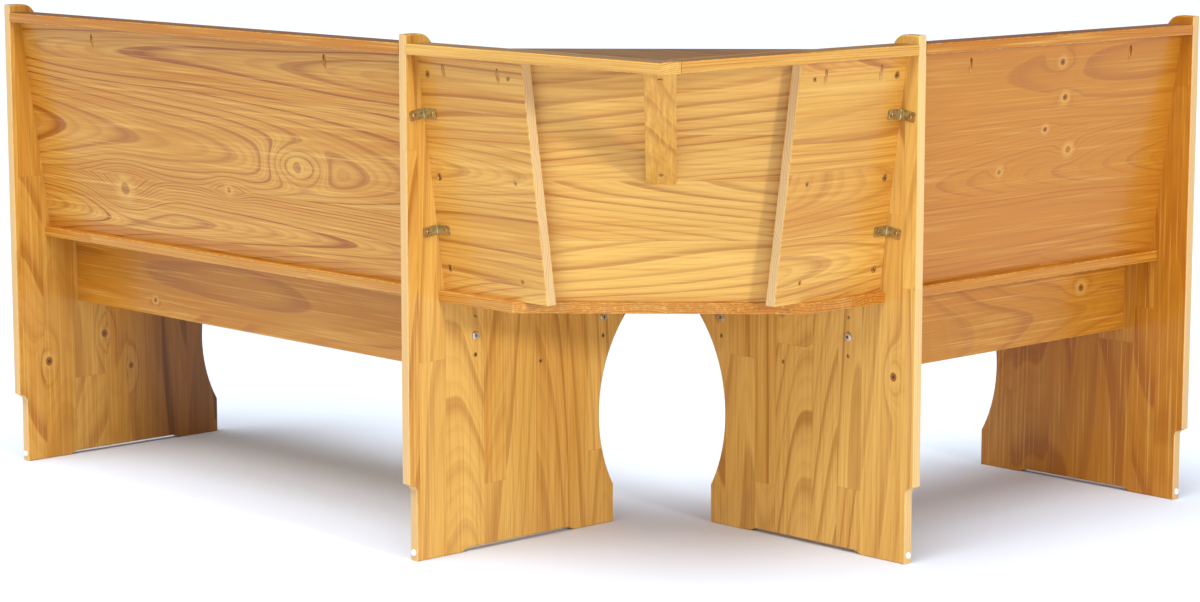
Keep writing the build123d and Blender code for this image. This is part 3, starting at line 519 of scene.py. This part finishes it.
class GrowthRings:
    """The rings of the trees that a board's staves were cut from, as shader numbers."""

    UNEVEN = 0.17  # how much the staves differ in width
    SEAM = 0.7  # half width of a glue line, in millimetres

    def __init__(self, graph: Graph, timber: Timber, along: Socket, across: Socket, through: Socket) -> None:
        """Work out staves, noises and glue lines.

        Args:
            graph: the material's graph.
            timber: how the board was cut.
            along: place along the grain.
            across: place across the face.
            through: place through the thickness.
        """
        self.graph, self.timber = graph, timber
        self.along, self.across, self.through = along, across, through
        even_place = (across + timber.shift) / timber.stave
        stave_place = even_place + (even_place * 2.3 + timber.seed).sine() * self.UNEVEN
        stave = math.floor(stave_place)
        first = Socket(graph, graph.chance(graph.join(stave, 0.0, float(timber.seed))).outputs["Value"])
        piece_place = along / timber.joint + first
        piece = math.floor(piece_place)
        draw = graph.chance(graph.join(stave, piece, float(timber.seed) + 0.5))
        self.luck = Socket(graph, draw.outputs["Value"])
        self.lots = graph.split(draw.outputs["Color"])
        self.in_stave = (stave_place.fract() - 0.5) * timber.stave
        near_line = (0.5 - abs(stave_place.fract() - 0.5)) * timber.stave
        near_joint = (0.5 - abs(piece_place.fract() - 0.5)) * timber.joint
        self.seam = near_line.lowest(near_joint).step(self.SEAM, 0.1)
        self.apart = self.luck * 60
        drift = self.cloudy((timber.length, timber.curl, 90.0), 1.0, 0.4, self.apart)
        self.drift = graph.split(drift.outputs["Color"])
        self.cloud = Socket(graph, self.cloudy((600.0, 60.0, 80.0), 2.0, 0.5, self.apart).outputs[0])
        self.fibre = Socket(graph, self.cloudy((38.0, 1.2, 1.2), 3.0, 0.6).outputs[0])
        self.streak = Socket(graph, self.cloudy((260.0, 4.5, 4.5), 2.0, 0.55, self.apart).outputs[0])
        self.speckle = Socket(graph, self.cloudy((14.0, 9.0, 9.0), 3.0, 0.5).outputs[0])

    def cloudy(self, sizes: Triple, detail: float, roughness: float, shift: Number = 0.0) -> bpy.types.Node:
        """Noise with a size along the grain, across it and through the board, moved across by a shift."""
        along, across, through = self.along / sizes[0], self.across / sizes[1], self.through / sizes[2]
        return self.graph.noise(self.graph.join(along, across + shift, through), detail, roughness=roughness)

    def distance(self, knot: Knot) -> Socket:
        """Distance from a knot's middle.

        Args:
            knot: the knot.

        Returns:
            The distance in knot radii, a little uneven.
        """
        run = (self.along - knot.along) / (knot.radius * 1.15)
        side = (self.across - knot.across) / knot.radius
        return (run * run + side * side) ** 0.5 + (self.speckle - 0.5) * 0.35

    def growth(self) -> Socket:
        """Age of the wood at a point, in growth rings.

        Returns:
            A number whose whole part names the ring.
        """
        timber = self.timber
        sideways, deeper, run_out = self.lots
        side = self.in_stave + (self.drift[0] - 0.5) * timber.warp * 2
        side = side - (sideways - 0.5) * timber.spread - timber.aside
        low, high = timber.pith
        deep = self.through + (self.drift[1] - 0.5) * timber.warp * 2 + low + deeper * (high - low)
        age = (side * side + deep * deep) ** 0.5
        age = age + self.along * (run_out - 0.5) * (2 * timber.slope)
        age = age + (self.drift[2] - 0.5) * (timber.wave * 2)
        for knot in timber.knots:
            run = (self.along - knot.along) / (knot.radius * knot.reach * 2.2)
            off = (self.across - knot.across) / (knot.radius * knot.reach)
            swell = (0 - run * run - off * off).exp()
            age = age + swell * (knot.pull * timber.ring)
        return age / (timber.ring * (0.75 + 0.55 * self.luck))

    def late_wood(self) -> Socket:
        """Share of dark late wood.

        Returns:
            A number that rises slowly through a ring and ends sharply.
        """
        age = self.growth()
        part = age.fract()
        name = self.graph.join(math.floor(age), self.luck * 31, 0.0)
        strength = Socket(self.graph, self.graph.chance(name).outputs["Value"])
        band = part.step(0.25, 0.95) ** 2.2 * part.step(1.0, 0.93)
        third = (age * 3 + 0.35).fract()
        fine = third.step(0.35, 0.85) * third.step(1.0, 0.85)
        return (band * (0.25 + 0.75 * strength) + fine * self.timber.fine).lowest(1.0)


@dataclass(frozen=True)
class Metal:
    """Plated steel with fine scuffs and a little tarnish."""

    clean: Colour
    dull: Colour
    roughness: float = 0.28

    def material(self, name: str) -> bpy.types.Material:
        """Material of this finish.

        Args:
            name: name of the material.

        Returns:
            The finished material.
        """
        graph = Graph(name)
        place = graph.place()
        tarnish = Socket(graph, graph.noise(place, 3.0, 0.16).outputs[0]).step(0.42, 0.66)
        scuffs = Socket(graph, graph.noise(place, 4.0, 1.7, 0.65).outputs[0])
        colour = graph.mix(tarnish * 0.7, self.clean, self.dull)
        rough = self.roughness + tarnish * 0.16 + (scuffs - 0.5) * 0.2
        return graph.close({"Base Color": colour, "Metallic": 1.0, "Roughness": rough}, scuffs, 0.00003)


@dataclass(frozen=True)
class Plastic:
    """Moulded plastic with a faint satin texture."""

    colour: Colour
    shade: Colour

    def material(self, name: str) -> bpy.types.Material:
        """Material of this finish.

        Args:
            name: name of the material.

        Returns:
            The finished material.
        """
        graph = Graph(name)
        place = graph.place()
        grain = Socket(graph, graph.noise(place, 2.0, 2.2).outputs[0])
        dirt = Socket(graph, graph.noise(place, 3.0, 0.22).outputs[0]).step(0.5, 0.75)
        colour = graph.mix(dirt * 0.5, self.colour, self.shade)
        return graph.close({"Base Color": colour, "Roughness": 0.36 + dirt * 0.2}, grain, 0.00003)


def room_corner() -> Vector:
    """Floor point of the room corner, from the rail that runs into it."""
    low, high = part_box("corner_left_rail")
    return Vector((low.x, high.y, 0.0))


def dress(node: str, material: bpy.types.Material) -> None:
    """Dress a board or fitting that keeps its shape.

    Args:
        node: its node name.
        material: its material.
    """
    mesh = frame["nodes"][node].data
    mesh.materials.clear()
    mesh.materials.append(material)


PINE = Pine()
ZINC = Metal(paint(214, 210, 200), paint(150, 144, 132))
YELLOW_ZINC = Metal(paint(206, 170, 104), paint(104, 76, 42), 0.36)
HINGE_STEEL = Metal(paint(196, 180, 140), paint(140, 122, 88), 0.32)
BRONZED = Metal(paint(206, 184, 136), paint(148, 126, 86), 0.34)
WHITE_PLASTIC = Plastic(paint(244, 243, 240), paint(206, 204, 198))
LONG_BACK_KNOTS = (Knot(1446, 536, 11, 0.12, 6.0, 3.6), Knot(927, 616, 9, 0.1, 5.0, 3.4),
                   Knot(1130, 560, 5, 0.1, 3.0, 4.0))
SHORT_BACK_KNOTS = (Knot(976, 796, 5, 0.9, 1.6, 3.4), Knot(995, 735, 5, 0.9, 1.4, 2.4),
                    Knot(952, 683, 4, 0.9, 1.4, 2.4), Knot(1022, 644, 6, 0.1, 2.0, 3.0),
                    Knot(844, 618, 4, 0.25, 1.6, 2.4))


# ---- assemblies
@dataclass
class StorageBench:
    """One storage bench: rail, backrest, seat strip, lid, box and hinges."""

    wall: Wall
    seed: int
    back_knots: tuple[Knot, ...]
    apron_knots: tuple[Knot, ...]
    tone: float = 0.0
    ruddy: float = 0.1
    figure: float = 1.0  # how clear the backrest's figure is

    def boards(self) -> list[tuple[str, Lie, Timber]]:
        """Every board of the bench: the end of its node's name, how it lies and its timber.

        Returns:
            One entry for each board.
        """
        seed, tone, figure = self.seed, self.tone, self.figure
        box_side = {"stave": 140, "shift": -10}
        return [
            ("top_rail", Lie.SHEET, Timber(
                seed + 1, stave=60, tone=tone + 0.3, ring=3.6, top_shade=0.95, slope=0.02, contrast=0.6,
                ruddy=0.6)),
            ("backrest", Lie.LEANING, Timber(
                seed + 2, stave=128, shift=60, tone=tone + 0.24, ring=3.8, stripes=0.25, slope=0.045, warp=8,
                wave=7, pith=(4, 18), spread=60, curl=200, contrast=0.95 * figure, streaks=figure,
                fine=0.26 * figure, ruddy=self.ruddy, knots=self.back_knots)),
            ("seat_strip", Lie.SHEET, Timber(
                seed + 3, stave=92, shift=27, tone=tone + 0.3, ring=4.0, slope=0.03, joint=640, ruddy=0.3)),
            ("seat_lid", Lie.SHEET, Timber(seed + 4, stave=85, shift=12, tone=tone, joint=700)),
            ("rear_apron", Lie.EDGE, Timber(
                seed + 5, tone=tone + 0.45, ring=7.0, contrast=0.55, knots=self.apron_knots, stripes=0.1,
                ruddy=0.25, **box_side)),
            ("front_apron", Lie.EDGE, Timber(seed + 6, tone=tone + 0.1, ring=6.0, **box_side)),
            ("box_floor", Lie.SHEET, Timber(seed + 7, stave=110, tone=tone - 0.1, contrast=0.6)),
        ]

    def build(self) -> None:
        """Dress every board and the hinges."""
        for ending, lie, timber in self.boards():
            node = f"{self.wall.value}_{ending}"
            dress(node, PINE.material(node + "_pine", timber, lie, self.wall))
            LOG.info("board %s", node)
        steel = HINGE_STEEL.material(f"{self.wall.value}_hinge_steel")
        for ending in ("hinge_fixed_leaves", "hinge_lid_leaves", "hinge_pins"):
            dress(f"{self.wall.value}_{ending}", steel)
        LOG.info("hinges of the %s bench", self.wall.value)


@dataclass
class SidePanels:
    """The four side panels, glued up from upright finger-jointed staves."""

    stave: float = 64.0
    joint: float = 760.0

    def timbers(self) -> dict[str, tuple[Wall, Timber]]:
        """Wall and timber of each panel by its node name.

        Returns:
            The four panels.
        """
        look = {"stave": self.stave, "joint": self.joint, "top_shade": 0.8, "spread": 220.0, "slope": 0.035,
                "aside": 35.0, "warp": 5.0, "wave": 5.0, "ring": 4.2, "contrast": 0.66, "pale_rear": 0.6,
                "stripes": 0.36, "hearts": 0.16}
        end_knots = (Knot(186, 67, 7, 0.9, 2.0), Knot(225, 194, 6, 0.8, 1.6), Knot(156, 254, 5, 0.6, 1.4))
        dense = {**look, "ring": 3.6, "contrast": 0.75}
        return {
            "long_end_panel": (Wall.LONG, Timber(11, tone=0.1, front_shade=0.72, knots=end_knots, **look)),
            "long_corner_panel": (Wall.LONG, Timber(23, shift=40, tone=-0.15, **look)),
            "short_corner_panel": (Wall.SHORT, Timber(
                31, shift=25, tone=-0.4, knots=(Knot(306, 45, 6, 1.0, 2.0),), **look)),
            "short_end_panel": (Wall.SHORT, Timber(
                47, shift=10, tone=0.5, front_shade=0.1, ruddy=0.3, **dense)),
        }

    def build(self) -> None:
        """Dress the four panels."""
        for node, (wall, timber) in self.timbers().items():
            dress(node, PINE.material(node + "_pine", timber, Lie.UPRIGHT, wall))
            LOG.info("panel %s", node)


@dataclass
class CornerUnit:
    """Rails, backrests, shelf, brace and seat that join the two benches."""

    def boards(self) -> list[tuple[str, Wall, Lie, Timber]]:
        """Every board of the corner with its wall, lie and timber.

        Returns:
            One entry for each board.
        """
        back = {"stave": 120.0, "ring": 4.6, "pale_ends": 0.9, "spread": 110.0, "contrast": 0.72,
                "stripes": 0.3, "fine": 0.26}
        whole = {"stave": 200, "shift": 100}
        return [
            ("corner_left_rail", Wall.LONG, Lie.SHEET, Timber(
                61, tone=-0.25, ring=3.0, slope=0.02, top_shade=0.85, contrast=0.55, **whole)),
            ("corner_right_rail", Wall.SHORT, Lie.SHEET, Timber(
                62, tone=0.2, ring=4.0, slope=0.02, top_shade=0.85, **whole)),
            ("corner_left_backrest", Wall.LONG, Lie.LEANING, Timber(63, shift=10, tone=-0.1, **back)),
            ("corner_right_backrest", Wall.SHORT, Lie.LEANING, Timber(64, shift=50, tone=0.0, **back)),
            ("corner_middle_backrest", Wall.LONG, Lie.DIAGONAL, Timber(
                65, stave=96, shift=40, tone=-0.38, ring=3.4, spread=150, slope=0.03, aside=110, warp=8,
                wave=4, contrast=0.68, stripes=0.2, hearts=0.1)),
            ("corner_shelf", Wall.LONG, Lie.SHEET, Timber(66, top_shade=1.0, contrast=0.5)),
            ("corner_brace", Wall.LONG, Lie.STRUT, Timber(
                67, tone=-0.2, ring=5.0, contrast=0.5, slope=0.5, ruddy=0.16, **whole)),
            ("corner_seat", Wall.LONG, Lie.SHEET, Timber(
                68, stave=88, shift=30, tone=0.3, ring=4.0, ruddy=0.4, contrast=0.9)),
        ]

    def build(self) -> None:
        """Dress the boards, brackets and cams' bolts."""
        for node, wall, lie, timber in self.boards():
            dress(node, PINE.material(node + "_pine", timber, lie, wall))
            LOG.info("board %s", node)
        dress("corner_angle_brackets", BRONZED.material("bronzed_bracket_steel"))
        dress("corner_cam_bolts", ZINC.material("cam_bolt_zinc"))


@dataclass
class HiddenJoinery:
    """Dowels, barrel nuts and glides."""

    def build(self) -> None:
        """Dress the small turned pieces."""
        beech = Timber(81, stave=400, ring=2.0, contrast=0.35, tone=-0.2)
        wood = PINE.material("dowel_beech", beech, Lie.SHEET, Wall.LONG)
        for node in ("long_dowels", "short_dowels", "corner_dowels"):
            dress(node, wood)
        zinc = ZINC.material("barrel_nut_zinc")
        for node in ("long_apron_barrel_nuts", "short_apron_barrel_nuts"):
            dress(node, zinc)
        dress("rear_glides", WHITE_PLASTIC.material("white_glide_plastic"))
        LOG.info("dowels, barrel nuts and glides")


# ---- fasteners
class Drive(Enum):
    """What the driver fits into."""

    CROSS = "cross recess"
    HEX = "hexagon socket"


class Head(Enum):
    """Shape of a fastener's head."""

    SUNK = "countersunk"
    PAN = "rounded"
    DISC = "flat disc"
    CAM = "cam housing"


@dataclass(frozen=True)
class Spot:
    """Where one fastener sits: middle of its head's face, way out of the wood, sizes in metres."""

    face: Vector
    out: Vector
    radius: float
    shank: float
    length: float


def fastener_spots(node: str, out_of: Optional[Callable[[Vector], Vector]] = None) -> list[Spot]:
    """Find every fastener of a node.

    Args:
        node: the node that holds them.
        out_of: gives the way out of the wood at a place, for fasteners as wide as they are long.

    Returns:
        One spot for each, in a fixed order.
    """
    work = bmesh.new()
    work.from_mesh(frame["nodes"][node].data)
    bmesh.ops.remove_doubles(work, verts=work.verts, dist=1e-5)
    seen: set[int] = set()
    spots = []
    for start in work.verts:
        if start.index in seen:
            continue
        island, waiting = [], [start]
        seen.add(start.index)
        while waiting:
            vertex = waiting.pop()
            island.append(tuple(vertex.co))
            for edge in vertex.link_edges:
                other = edge.other_vert(vertex)
                if other.index not in seen:
                    seen.add(other.index)
                    waiting.append(other)
        spots.append(measure_spot(np.array(island), out_of))
    work.free()
    return sorted(spots, key=lambda spot: tuple(round(value, 4) for value in spot.face))


END = 2e-4  # vertices this close to an end belong to it, in metres
HEAVIER = 1.05  # an end this much wider than the other is the head
SHANK_PART = 0.4  # share of the length from the tip that is surely shank


def measure_spot(points: np.ndarray, out_of: Optional[Callable[[Vector], Vector]]) -> Spot:
    """Measure one fastener.

    Args:
        points: its vertices.
        out_of: gives the way out of the wood, or None to read it from the shape.

    Returns:
        Its place and sizes.
    """
    middle = (points.min(0) + points.max(0)) / 2
    if out_of is None:
        axis = np.linalg.svd(points - points.mean(0), full_matrices=False)[2][0]
        for _ in range(2):
            reach = points @ axis
            top, tip = points[reach > reach.max() - END], points[reach < reach.min() + END]
            axis = top.mean(0) - tip.mean(0)
            axis /= np.linalg.norm(axis)
    else:
        axis = np.array(out_of(Vector(middle)))
    reach = points @ axis
    off = points - np.outer(reach, axis)
    line = off[reach > reach.max() - END].mean(0)
    spread = np.linalg.norm(off - line, axis=1)
    half = (reach.max() + reach.min()) / 2
    if spread[reach < half].max() > spread[reach > half].max() * HEAVIER:
        axis, reach = -axis, -reach
        line = off[reach > reach.max() - END].mean(0)
        spread = np.linalg.norm(off - line, axis=1)
    low = reach < reach.min() + (reach.max() - reach.min()) * SHANK_PART
    return Spot(Vector(line + axis * reach.max()), Vector(axis), float(spread.max()),
                float(spread[low].max()), float(reach.max() - reach.min()))


@dataclass(frozen=True)
class FastenerShape:
    """Turned fastener with a driver recess, head's face at height 0 and tip below; sizes in metres."""

    head: Head
    drive: Drive
    radius: float
    shank: float
    length: float
    points: int = 24

    def outline(self) -> list[Vector]:
        """Outline of the recess at the head's face.

        Returns:
            Its points in order.
        """
        if self.drive is Drive.HEX:
            turns = [math.radians(60 * k) for k in range(7)]
            corners = [Vector((math.cos(turn), math.sin(turn), 0.0)) * self.radius * 0.36 for turn in turns]
            return [corners[k].lerp(corners[k + 1], part / 4) for k in range(6) for part in range(4)]
        wing, half = self.radius * 0.56, self.radius * 0.13
        quarter = [Vector((wing, -half, 0)), Vector((wing * 1.06, 0, 0)), Vector((wing, half, 0)),
                   Vector((wing * 0.55, half * 1.15, 0)), Vector((half * 1.35, half * 1.35, 0)),
                   Vector((half * 1.15, wing * 0.55, 0))]
        return [Matrix.Rotation(math.radians(90 * k), 3, "Z") @ point for k in range(4) for point in quarter]

    def profile(self) -> list[tuple[float, float]]:
        """Turned profile from the recess out to the rim and down to the tip.

        Returns:
            Radius and height of each ring.
        """
        r, s, low = self.radius, self.shank, -self.length
        if self.head is Head.SUNK:
            return [(r * 0.86, 0.0), (r * 0.97, -0.00008), (r, -0.0003), (s, -(r - s) - 0.0004),
                    (s, low * 0.86), (s * 0.25, low)]
        if self.head is Head.PAN:
            return [(r * 0.72, -0.0001), (r * 0.9, -0.0005), (r, -0.0011), (r * 0.98, -0.00185),
                    (s, -0.002), (s, low * 0.84), (s * 0.25, low)]
        if self.head is Head.CAM:
            return [(r * 0.78, 0.0), (r * 0.82, -0.0003), (r * 0.9, -0.0003), (r * 0.93, 0.0),
                    (r * 0.98, -0.0001), (r, -0.0004), (r, low), (r * 0.5, low)]
        return [(r * 0.62, 0.0), (r * 0.86, -0.0001), (r * 0.96, -0.0004), (r, -0.0009), (r, -0.0021),
                (s, -0.0024), (s, low * 0.97), (s * 0.8, low)]

    def template(self, name: str) -> bpy.types.Object:
        """Build the mesh of one fastener.

        Args:
            name: name of the helper object.

        Returns:
            The object, outside the scene.
        """
        work = bmesh.new()
        outline = self.outline()
        deep = -min(self.radius * 0.55, self.length * 0.2)
        taper = 0.92 if self.drive is Drive.HEX else 0.6
        loops = [[work.verts.new((p.x * taper, p.y * taper, deep)) for p in outline],
                 [work.verts.new((p.x, p.y, 0.0)) for p in outline]]
        turns = [math.atan2(p.y, p.x) for p in outline]
        for radius, height in self.profile():
            ring = [(radius * math.cos(turn), radius * math.sin(turn), height) for turn in turns]
            loops.append([work.verts.new(point) for point in ring])
        for inner, outer in zip(loops, loops[1:]):
            for k in range(self.points):
                after = (k + 1) % self.points
                work.faces.new((inner[k], outer[k], outer[after], inner[after]))
        for loop, height in ((loops[0], deep * 1.05), (loops[-1], -self.length)):
            middle = work.verts.new((0.0, 0.0, height))
            for k in range(self.points):
                work.faces.new((middle, loop[k], loop[(k + 1) % self.points]))
        bmesh.ops.recalc_face_normals(work, faces=work.faces)
        mesh = bpy.data.meshes.new(name)
        work.to_mesh(mesh)
        work.free()
        return bpy.data.objects.new(name, mesh)


def placing_tree() -> bpy.types.NodeTree:
    """Node tree that sets one fastener at every point, turned by chance about its own axis.

    Returns:
        The tree, with the inputs Fastener, Size, Turn, Seed and Finish.
    """
    tree = bpy.data.node_groups.new("set_fasteners", "GeometryNodeTree")
    face = tree.interface
    face.new_socket("Geometry", in_out="INPUT", socket_type="NodeSocketGeometry")
    face.new_socket("Fastener", in_out="INPUT", socket_type="NodeSocketObject")
    for name, kind in (("Size", "NodeSocketFloat"), ("Turn", "NodeSocketFloat"), ("Seed", "NodeSocketInt")):
        face.new_socket(name, in_out="INPUT", socket_type=kind)
    face.new_socket("Finish", in_out="INPUT", socket_type="NodeSocketMaterial")
    face.new_socket("Geometry", in_out="OUTPUT", socket_type="NodeSocketGeometry")

    def add(kind: str, **settings: Any) -> bpy.types.Node:
        """Add a node.

        Args:
            kind: type of the node.
            settings: its properties.

        Returns:
            The node.
        """
        made = tree.nodes.new(kind)
        for key, value in settings.items():
            setattr(made, key, value)
        return made

    given = add("NodeGroupInput").outputs
    part = add("GeometryNodeObjectInfo", transform_space="ORIGINAL")
    out_way, reach = (add("GeometryNodeInputNamedAttribute", data_type="FLOAT_VECTOR") for _ in range(2))
    out_way.inputs["Name"].default_value = "out"
    reach.inputs["Name"].default_value = "reach"
    sized = add("ShaderNodeVectorMath", operation="SCALE")
    stand = add("FunctionNodeAlignRotationToVector", axis="Z")
    chance = add("FunctionNodeRandomValue", data_type="FLOAT")
    spin = add("ShaderNodeCombineXYZ")
    place = add("GeometryNodeInstanceOnPoints")
    turn = add("GeometryNodeRotateInstances")
    real = add("GeometryNodeRealizeInstances")
    finish = add("GeometryNodeSetMaterial")
    result = add("NodeGroupOutput")
    most = [socket for socket in chance.inputs if socket.type == "VALUE"][1]  # upper end of the draw
    angle = next(socket for socket in chance.outputs if socket.type == "VALUE")
    for source, target in (
        (given["Fastener"], part.inputs["Object"]),
        (out_way.outputs["Attribute"], stand.inputs["Vector"]),
        (reach.outputs["Attribute"], sized.inputs[0]),
        (given["Size"], sized.inputs["Scale"]),
        (given["Turn"], most),
        (given["Seed"], chance.inputs["Seed"]),
        (angle, spin.inputs["Z"]),
        (given["Geometry"], place.inputs["Points"]),
        (part.outputs["Geometry"], place.inputs["Instance"]),
        (stand.outputs["Rotation"], place.inputs["Rotation"]),
        (sized.outputs["Vector"], place.inputs["Scale"]),
        (place.outputs["Instances"], turn.inputs["Instances"]),
        (spin.outputs["Vector"], turn.inputs["Rotation"]),
        (turn.outputs["Instances"], real.inputs["Geometry"]),
        (real.outputs["Geometry"], finish.inputs["Geometry"]),
        (given["Finish"], finish.inputs["Material"]),
        (finish.outputs["Geometry"], result.inputs["Geometry"]),
    ):
        tree.links.new(source, target)
    return tree


@dataclass
class FastenerSet:
    """All fasteners of one node, made again with detailed heads."""

    node: str
    head: Head
    drive: Drive
    finish: Metal
    slot: str
    seed: int
    out_of: Optional[Callable[[Vector], Vector]] = None

    def build(self, tree: bpy.types.NodeTree) -> None:
        """Place the fasteners and let them stand for the node.

        Args:
            tree: the node tree that places them.
        """
        spots = fastener_spots(self.node, self.out_of)
        longest = max(spot.length for spot in spots)
        shape = FastenerShape(self.head, self.drive, spots[0].radius, spots[0].shank, longest)
        template = shape.template(self.node + "_one")
        points = bpy.data.meshes.new(self.node + "_points")
        points.from_pydata([tuple(spot.face) for spot in spots], [], [])
        ways = points.attributes.new("out", "FLOAT_VECTOR", "POINT")
        reaches = points.attributes.new("reach", "FLOAT_VECTOR", "POINT")
        for index, spot in enumerate(spots):
            ways.data[index].vector = spot.out
            reaches.data[index].vector = (1.0, 1.0, spot.length / longest)
        carrier = bpy.data.objects.new(self.node + "_points", points)
        bpy.context.scene.collection.objects.link(carrier)
        setter = carrier.modifiers.new("set_fasteners", "NODES")
        setter.node_group = tree
        values = {"Fastener": template, "Size": 1.0, "Turn": math.tau, "Seed": self.seed,
                  "Finish": self.finish.material(self.node + "_plating")}
        for item in tree.interface.items_tree:
            if item.in_out == "INPUT" and item.name in values:
                setter[item.identifier] = values[item.name]
        depsgraph = bpy.context.evaluated_depsgraph_get()
        mesh = bpy.data.meshes.new_from_object(carrier.evaluated_get(depsgraph), depsgraph=depsgraph)
        piece = bpy.data.objects.new(self.node + "_turned", mesh)
        bpy.context.scene.collection.objects.link(piece)
        bpy.data.objects.remove(carrier)
        bpy.data.objects.remove(template)
        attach(piece, frame["nodes"][self.node]["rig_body"])
        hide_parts(self.node)
        LOG.info("%s: %d fasteners, %d faces", piece.name, len(spots), len(mesh.polygons))


def out_of_back(place: Vector) -> Vector:
    """Way out of a corner backrest's wall-side face.

    Args:
        place: a point of the backrest.

    Returns:
        The direction, by the wall that the backrest stands along.
    """
    corner = room_corner()
    wall = Wall.LONG if corner.y - place.y < place.x - corner.x else Wall.SHORT
    return -Lie.LEANING.axes(wall)[2]


@dataclass
class Fasteners:
    """Every screw, bolt and cam of the set."""

    def sets(self) -> list[FastenerSet]:
        """List the sets.

        Returns:
            One entry for each node of fasteners.
        """
        screws = [f"{wall}_{kind}" for wall in ("long", "short")
                  for kind in ("apron_screws", "floor_screws")]
        screws += ["corner_back_screws", "corner_seat_screws", "corner_brace_screws"]
        hinge = [f"{wall}_hinge_{leaf}_screws" for wall in ("long", "short") for leaf in ("strip", "lid")]
        pans = ["long_rail_pocket_screws", "short_rail_pocket_screws", "corner_pocket_screws",
                "corner_bracket_screws"]
        made = [FastenerSet(node, Head.SUNK, Drive.CROSS, YELLOW_ZINC, "zinc_steel", 1) for node in screws]
        made += [FastenerSet(node, Head.SUNK, Drive.CROSS, HINGE_STEEL, "hinge_steel", 2) for node in hinge]
        made += [FastenerSet(node, Head.PAN, Drive.CROSS, YELLOW_ZINC, "zinc_steel", 3) for node in pans]
        made += [FastenerSet(f"{wall}_apron_bolts", Head.DISC, Drive.HEX, ZINC, "zinc_steel", 4)
                 for wall in ("long", "short")]
        made.append(FastenerSet("corner_cams", Head.CAM, Drive.CROSS, YELLOW_ZINC, "zinc_steel", 5,
                                out_of_back))
        return made

    def build(self) -> None:
        """Place every set."""
        tree = placing_tree()
        for entry in self.sets():
            entry.build(tree)


# ---- studio
@dataclass(frozen=True)
class SoftBox:
    """One square soft lamp: where it hangs, what it points at, its side in metres, its watts."""

    name: str
    place: Triple
    target: Triple
    size: float
    power: float


@dataclass
class Studio:
    """Pale floor, soft lamps and the camera behind the corner."""

    eye: Triple = (-4.16008, 3.90759, 1.19391)
    yaw: float = -43.5
    pitch: float = -8.59
    lens: float = 95.18
    floor_reach: float = 30.0  # half the side of the paper on the floor
    paper: Colour = paint(229, 238, 251)
    air: Colour = (0.94, 1.0, 1.07, 1.0)
    air_strength: float = 0.29
    boxes: tuple[SoftBox, ...] = (
        SoftBox("key", (-6.6, 1.1, 2.0), (-0.3, 0.2, 0.5), 0.6, 134.0),
        SoftBox("fill", (-1.6, 4.9, 3.4), (-0.2, 0.2, 0.4), 3.0, 44.0),
    )
    overhead: Triple = (0.1, -0.34, -1.0)
    overhead_strength: float = 3.4
    overhead_width: float = 60.0  # degrees

    def floor(self) -> None:
        """Lay one large pale sheet under the set."""
        mesh = bpy.data.meshes.new("studio_floor")
        reach = self.floor_reach
        corners = [(-reach, -reach, 0), (reach, -reach, 0), (reach, reach, 0), (-reach, reach, 0)]
        mesh.from_pydata(corners, [], [(0, 1, 2, 3)])
        sheet = bpy.data.objects.new("studio_floor", mesh)
        bpy.context.scene.collection.objects.link(sheet)
        graph = Graph("studio_paper")
        inputs = {"Base Color": self.paper, "Roughness": 0.9, "Specular IOR Level": 0.1}
        mesh.materials.append(graph.close(inputs))

    def hang(self, lamp: bpy.types.Object, direction: Vector) -> None:
        """Turn a lamp or camera to a direction and put it in the scene."""
        lamp.rotation_euler = direction.to_track_quat("-Z", "Y").to_euler()
        bpy.context.scene.collection.objects.link(lamp)

    def soft_box(self, box: SoftBox) -> None:
        """Hang one square soft box.

        Args:
            box: its place, target, size and power.
        """
        data = bpy.data.lights.new(box.name, "AREA")
        data.size, data.energy = box.size, box.power
        lamp = bpy.data.objects.new(box.name, data)
        lamp.location = box.place
        self.hang(lamp, Vector(box.target) - Vector(box.place))

    def sun(self) -> None:
        """Add a wide even light from above."""
        data = bpy.data.lights.new("overhead", "SUN")
        data.energy, data.angle = self.overhead_strength, math.radians(self.overhead_width)
        self.hang(bpy.data.objects.new("overhead", data), Vector(self.overhead))

    def camera(self) -> None:
        """Stand the camera at eye height behind the corner."""
        data = bpy.data.cameras.new("camera")
        data.sensor_width, data.lens = 36.0, self.lens
        data.clip_end = 200.0
        camera = bpy.data.objects.new("camera", data)
        yaw, pitch = math.radians(self.yaw), math.radians(self.pitch)
        forward = Vector((math.cos(yaw) * math.cos(pitch), math.sin(yaw) * math.cos(pitch), math.sin(pitch)))
        camera.location = self.eye
        self.hang(camera, forward)
        bpy.context.scene.camera = camera

    def build(self) -> None:
        """Set up floor, air, lamps and camera."""
        scene = bpy.context.scene
        scene.view_settings.view_transform = "Standard"
        world = bpy.data.worlds.new("studio_air")
        scene.world = world
        world.use_nodes = True
        background = world.node_tree.nodes["Background"].inputs
        background["Color"].default_value = self.air
        background["Strength"].default_value = self.air_strength
        self.floor()
        for box in self.boxes:
            self.soft_box(box)
        self.sun()
        self.camera()
        LOG.info("studio")


def main() -> None:
    """Build and dress the set, then put it in the studio."""
    logging.basicConfig(level=logging.INFO, format="%(name)s: %(message)s")
    SidePanels().build()
    StorageBench(Wall.LONG, 120, LONG_BACK_KNOTS, (Knot(1458, 323, 4, 0.7, 1.5),)).build()
    StorageBench(Wall.SHORT, 200, SHORT_BACK_KNOTS, (Knot(1176, 382, 6, 0.8, 1.5),),
                 tone=0.6, ruddy=0.4, figure=0.5).build()
    CornerUnit().build()
    HiddenJoinery().build()
    Fasteners().build()
    Studio().build()


if __name__ == "__main__":
    main()
